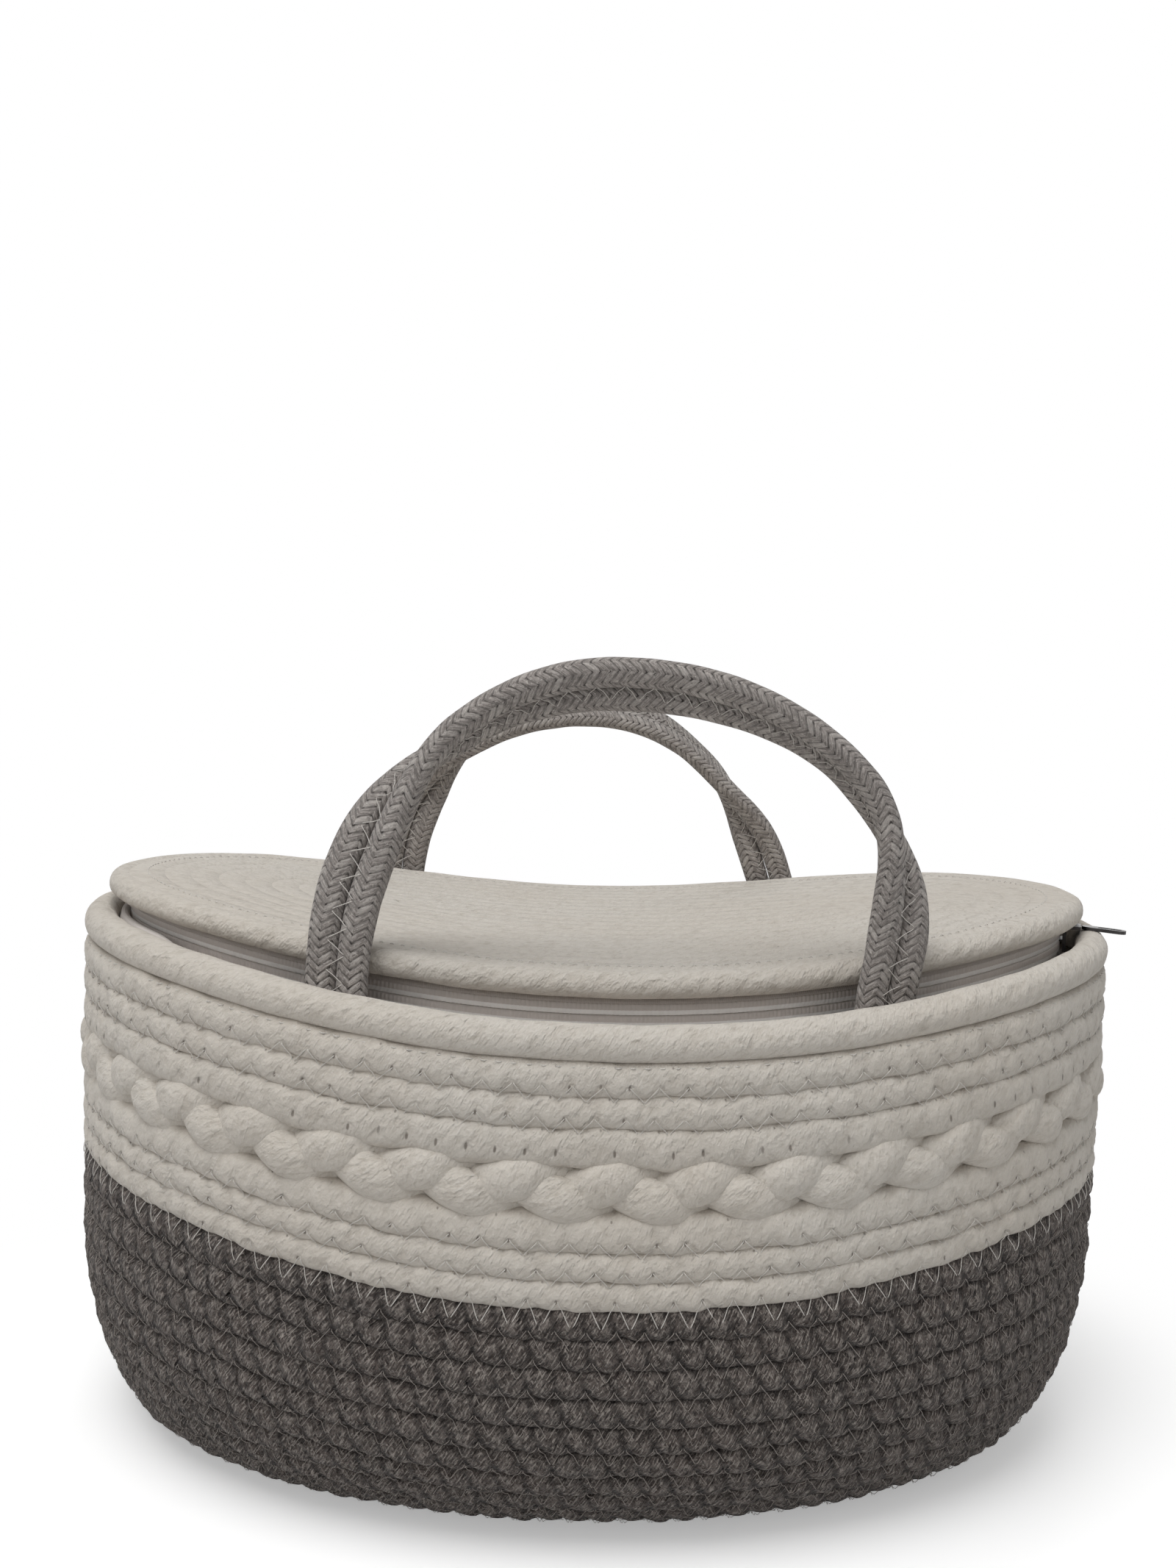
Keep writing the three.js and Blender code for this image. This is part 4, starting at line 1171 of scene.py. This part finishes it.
class Arch:
    """Middle line of a handle's two ropes, from its right sewn end over to the left one"""

    def __init__(self, side, rise, bulge, lean, turn):
        start = math.asin(HANDLE_FREE / rise)
        half_span = HANDLE_SPAN / 2 / math.cos(start)
        angle = np.linspace(start, math.pi - start, ARCH_POINTS)
        leg = np.linspace(HANDLE_FOOT - HANDLE_TUCK, HANDLE_FOOT + HANDLE_FREE, LEG_POINTS + 1)[:-1]
        share = np.linspace(0, 1, ARCH_POINTS)
        shoulder = np.sin(TURN * share)
        arch = half_span * np.cos(angle) + bulge * shoulder + lean * np.abs(shoulder)
        x = np.pad(arch, LEG_POINTS, constant_values=(HANDLE_SPAN / 2, -HANDLE_SPAN / 2))
        z = np.concatenate([leg, HANDLE_FOOT + rise * np.sin(angle), leg[::-1]])
        place = np.pad(share, LEG_POINTS, "edge")
        lengths = np.concatenate([[0], np.cumsum(np.hypot(np.diff(x), np.diff(z)))])
        x, z, place = spread(np.linspace(0, lengths[-1], 900), lengths, np.column_stack([x, z, place])).T
        kernel = np.hanning(31) / np.hanning(31).sum()
        x, z = (np.convolve(np.pad(column, 15, "reflect", reflect_type="odd"), kernel, "valid")
                for column in (x, z))
        self.point = np.stack([x, np.full(len(x), side * HANDLE_Y), z], -1)
        inward = np.minimum(place, 1 - place)
        rim_turn = TWIST * np.sign(x) * (1 - smooth(inward / TWIST_SHARE))
        along = unit(np.gradient(self.point, axis=0))
        out = np.stack([np.sin(rim_turn), side * np.cos(rim_turn), np.zeros(len(x))], -1)
        out = square(out, along)
        across = unit(np.cross(along, out) * -side)
        begin = np.where(place < 0.5, ROLL_START_RIGHT, ROLL_START_LEFT)
        rolled = SHOULDER_ROLL * smooth((inward - begin) / ROLL_LENGTH)
        rolled = rolled + (turn - SHOULDER_ROLL) * smooth((inward - 0.2) / 0.3)
        cos, sin = np.cos(rolled)[:, None], np.sin(rolled)[:, None]
        self.out = out * cos + across * sin
        self.across = across * cos - out * sin

    def course(self, offset, step):
        """Rings of the rope that runs this far from the middle line"""
        line = self.point + self.across * offset
        lengths = lengths_along(line)
        metres = np.linspace(0, lengths[-1], round(lengths[-1] / step) + 1)
        table = spread(metres, lengths, np.column_stack([line, self.out, self.across]))
        along = unit(np.gradient(table[:, :3], axis=0))
        out = square(table[:, 3:6], along)
        across = square(square(table[:, 6:], along), out)
        return SimpleNamespace(metres=metres, length=lengths[-1], point=table[:, :3], out=out, across=across)


def pressed(height):
    """How flat a handle's ropes are, least where the rim and the open lid press on them"""
    return 1 - PRESS * np.exp(-((height - PRESS_HEIGHT) / PRESS_LENGTH) ** 2)


class CADDY_OT_handles(bpy.types.Operator):
    """Braid both carry handles and sew their ropes together"""
    bl_idname = "caddy.handles"
    bl_label = "Handles"

    def execute(self, context):
        bend = HANDLE_PIVOT_Z - HANDLE_BEND, HANDLE_PIVOT_Z + HANDLE_BEND
        for place, side, rise, bulge, lean in (
                ("front", -1, HANDLE_RISE, FRONT_BULGE, FRONT_LEAN),
                ("rear", 1, HANDLE_RISE - REAR_HANDLE_DROP, REAR_BULGE, REAR_LEAN)):
            body = f"{place}_handle"
            arch = Arch(side, rise, bulge, lean, context.scene.caddy_handles.turn)
            nodes = [f"{body}_{part}" for part in ("outer_rope", "inner_rope", "left_end", "right_end")]
            for name, way in (("outer", 1), ("inner", -1)):
                rope = arch.course(way * HANDLE_ROPE / 2, BRAID_STEP)
                halves = HANDLE_DEPTH / 2 * pressed(rope.point[:, 2]), HANDLE_ROPE / 2, HANDLE_ROPE / 2
                piece = rope_piece(f"{body}_{name}_braid", rope, "handle_braid", 24, halves, 2.1,
                                   (71 + side + way, 7, 0.02, 0.012, 0.08))
                put_on(piece, body, "handle_rope", *nodes, bend=bend)

            middle = arch.course(0, MM)
            count = int((middle.length - 2 * HANDLE_SEAM_START) / (HANDLE_SEAM_PITCH / 2))
            metres = legs(HANDLE_SEAM_START + np.arange(count + 1) * HANDLE_SEAM_PITCH / 2)
            off = legs(by_turns(count + 1, HANDLE_SEAM_REACH, -HANDLE_SEAM_REACH))
            table = spread(metres, middle.metres, np.column_stack([middle.point, middle.across, middle.out]))
            line = table[:, :3] + table[:, 3:6] * off[:, None]
            height = np.tile(SEAM_HEIGHT, count) * pressed(table[:, 2])
            for face, way in (("face", 1), ("back", -1)):
                outs = table[:, 6:] * way
                seam = thread(f"{body}_seam_{face}", line + outs * height[:, None], outs,
                              context.scene.caddy_ropes.thread, "pale_thread")
                put_on(seam, body, "handle_rope", bend=bend)
        return {"FINISHED"}


class CADDY_OT_stage(bpy.types.Operator):
    """Set the pale floor, the soft studio light and the camera"""
    bl_idname = "caddy.stage"
    bl_label = "Stage"

    def execute(self, context):
        scene = context.scene
        stage = scene.caddy_stage
        bm = bmesh.new()
        bmesh.ops.create_grid(bm, x_segments=4, y_segments=4, size=12)
        floor = finish_mesh("floor", bm, "pale_floor")

        scene.world = bpy.data.worlds.new("studio")
        sky = Finish(scene.world, "Background")
        level = sky.add("ShaderNodeMapRange", None, {"Value": sky.seen(), "To Min": stage.sky, "To Max": 1.0})
        sky.set(Color=WHITE, Strength=level)

        for name, (place, share) in LIGHTS.items():
            lamp = bpy.data.lights.new(name, "AREA")
            lamp.shape = "DISK"
            lamp.size = LIGHT_SIZE
            lamp.energy = stage.key * share
            light = linked(name, lamp)
            light.location = place
            light.rotation_euler = (LIGHT_TARGET - Vector(place)).to_track_quat("-Z", "Y").to_euler()

        data = bpy.data.cameras.new("camera")
        data.sensor_fit = "VERTICAL"
        data.sensor_height = 36
        data.lens = stage.lens
        scene.camera = linked("camera", data)
        scene.camera.matrix_world = (
            Matrix.Translation(CAMERA_PLACE) @ Matrix.Rotation(CAMERA_YAW, 4, "Z")
            @ Matrix.Rotation(math.pi / 2 - CAMERA_PITCH, 4, "X") @ Matrix.Rotation(CAMERA_ROLL, 4, "Z"))
        scene.view_settings.view_transform = "Standard"
        return {"FINISHED"}


class CADDY_PT_panel(bpy.types.Panel):
    """Lists the caddy's operators and settings"""
    bl_idname = "CADDY_PT_panel"
    bl_label = "Rope Caddy"
    bl_space_type = "VIEW_3D"
    bl_region_type = "UI"
    bl_category = "Rope Caddy"

    def draw(self, context):
        for operator in OPERATORS:
            self.layout.operator(operator.bl_idname)
        for name in SETTINGS:
            group = getattr(context.scene, name)
            box = self.layout.box()
            for key in group.__annotations__:
                box.prop(group, key)


SETTINGS = {"caddy_colours": CaddyColours, "caddy_ropes": CaddyRopes, "caddy_handles": CaddyHandles,
            "caddy_stage": CaddyStage}
OPERATORS = (CADDY_OT_base, CADDY_OT_wall, CADDY_OT_plait, CADDY_OT_rim, CADDY_OT_lid, CADDY_OT_zip,
             CADDY_OT_handles, CADDY_OT_stage)


def register():
    for cls in (*SETTINGS.values(), *OPERATORS, CADDY_PT_panel):
        bpy.utils.register_class(cls)
    for name, group in SETTINGS.items():
        setattr(bpy.types.Scene, name, PointerProperty(type=group))


def unregister():
    for name in SETTINGS:
        delattr(bpy.types.Scene, name)
    for cls in reversed((*SETTINGS.values(), *OPERATORS, CADDY_PT_panel)):
        bpy.utils.unregister_class(cls)


def main():
    register()
    for operator in OPERATORS:
        group, name = operator.bl_idname.split(".")
        getattr(getattr(bpy.ops, group), name)()


if __name__ == "__main__":
    main()
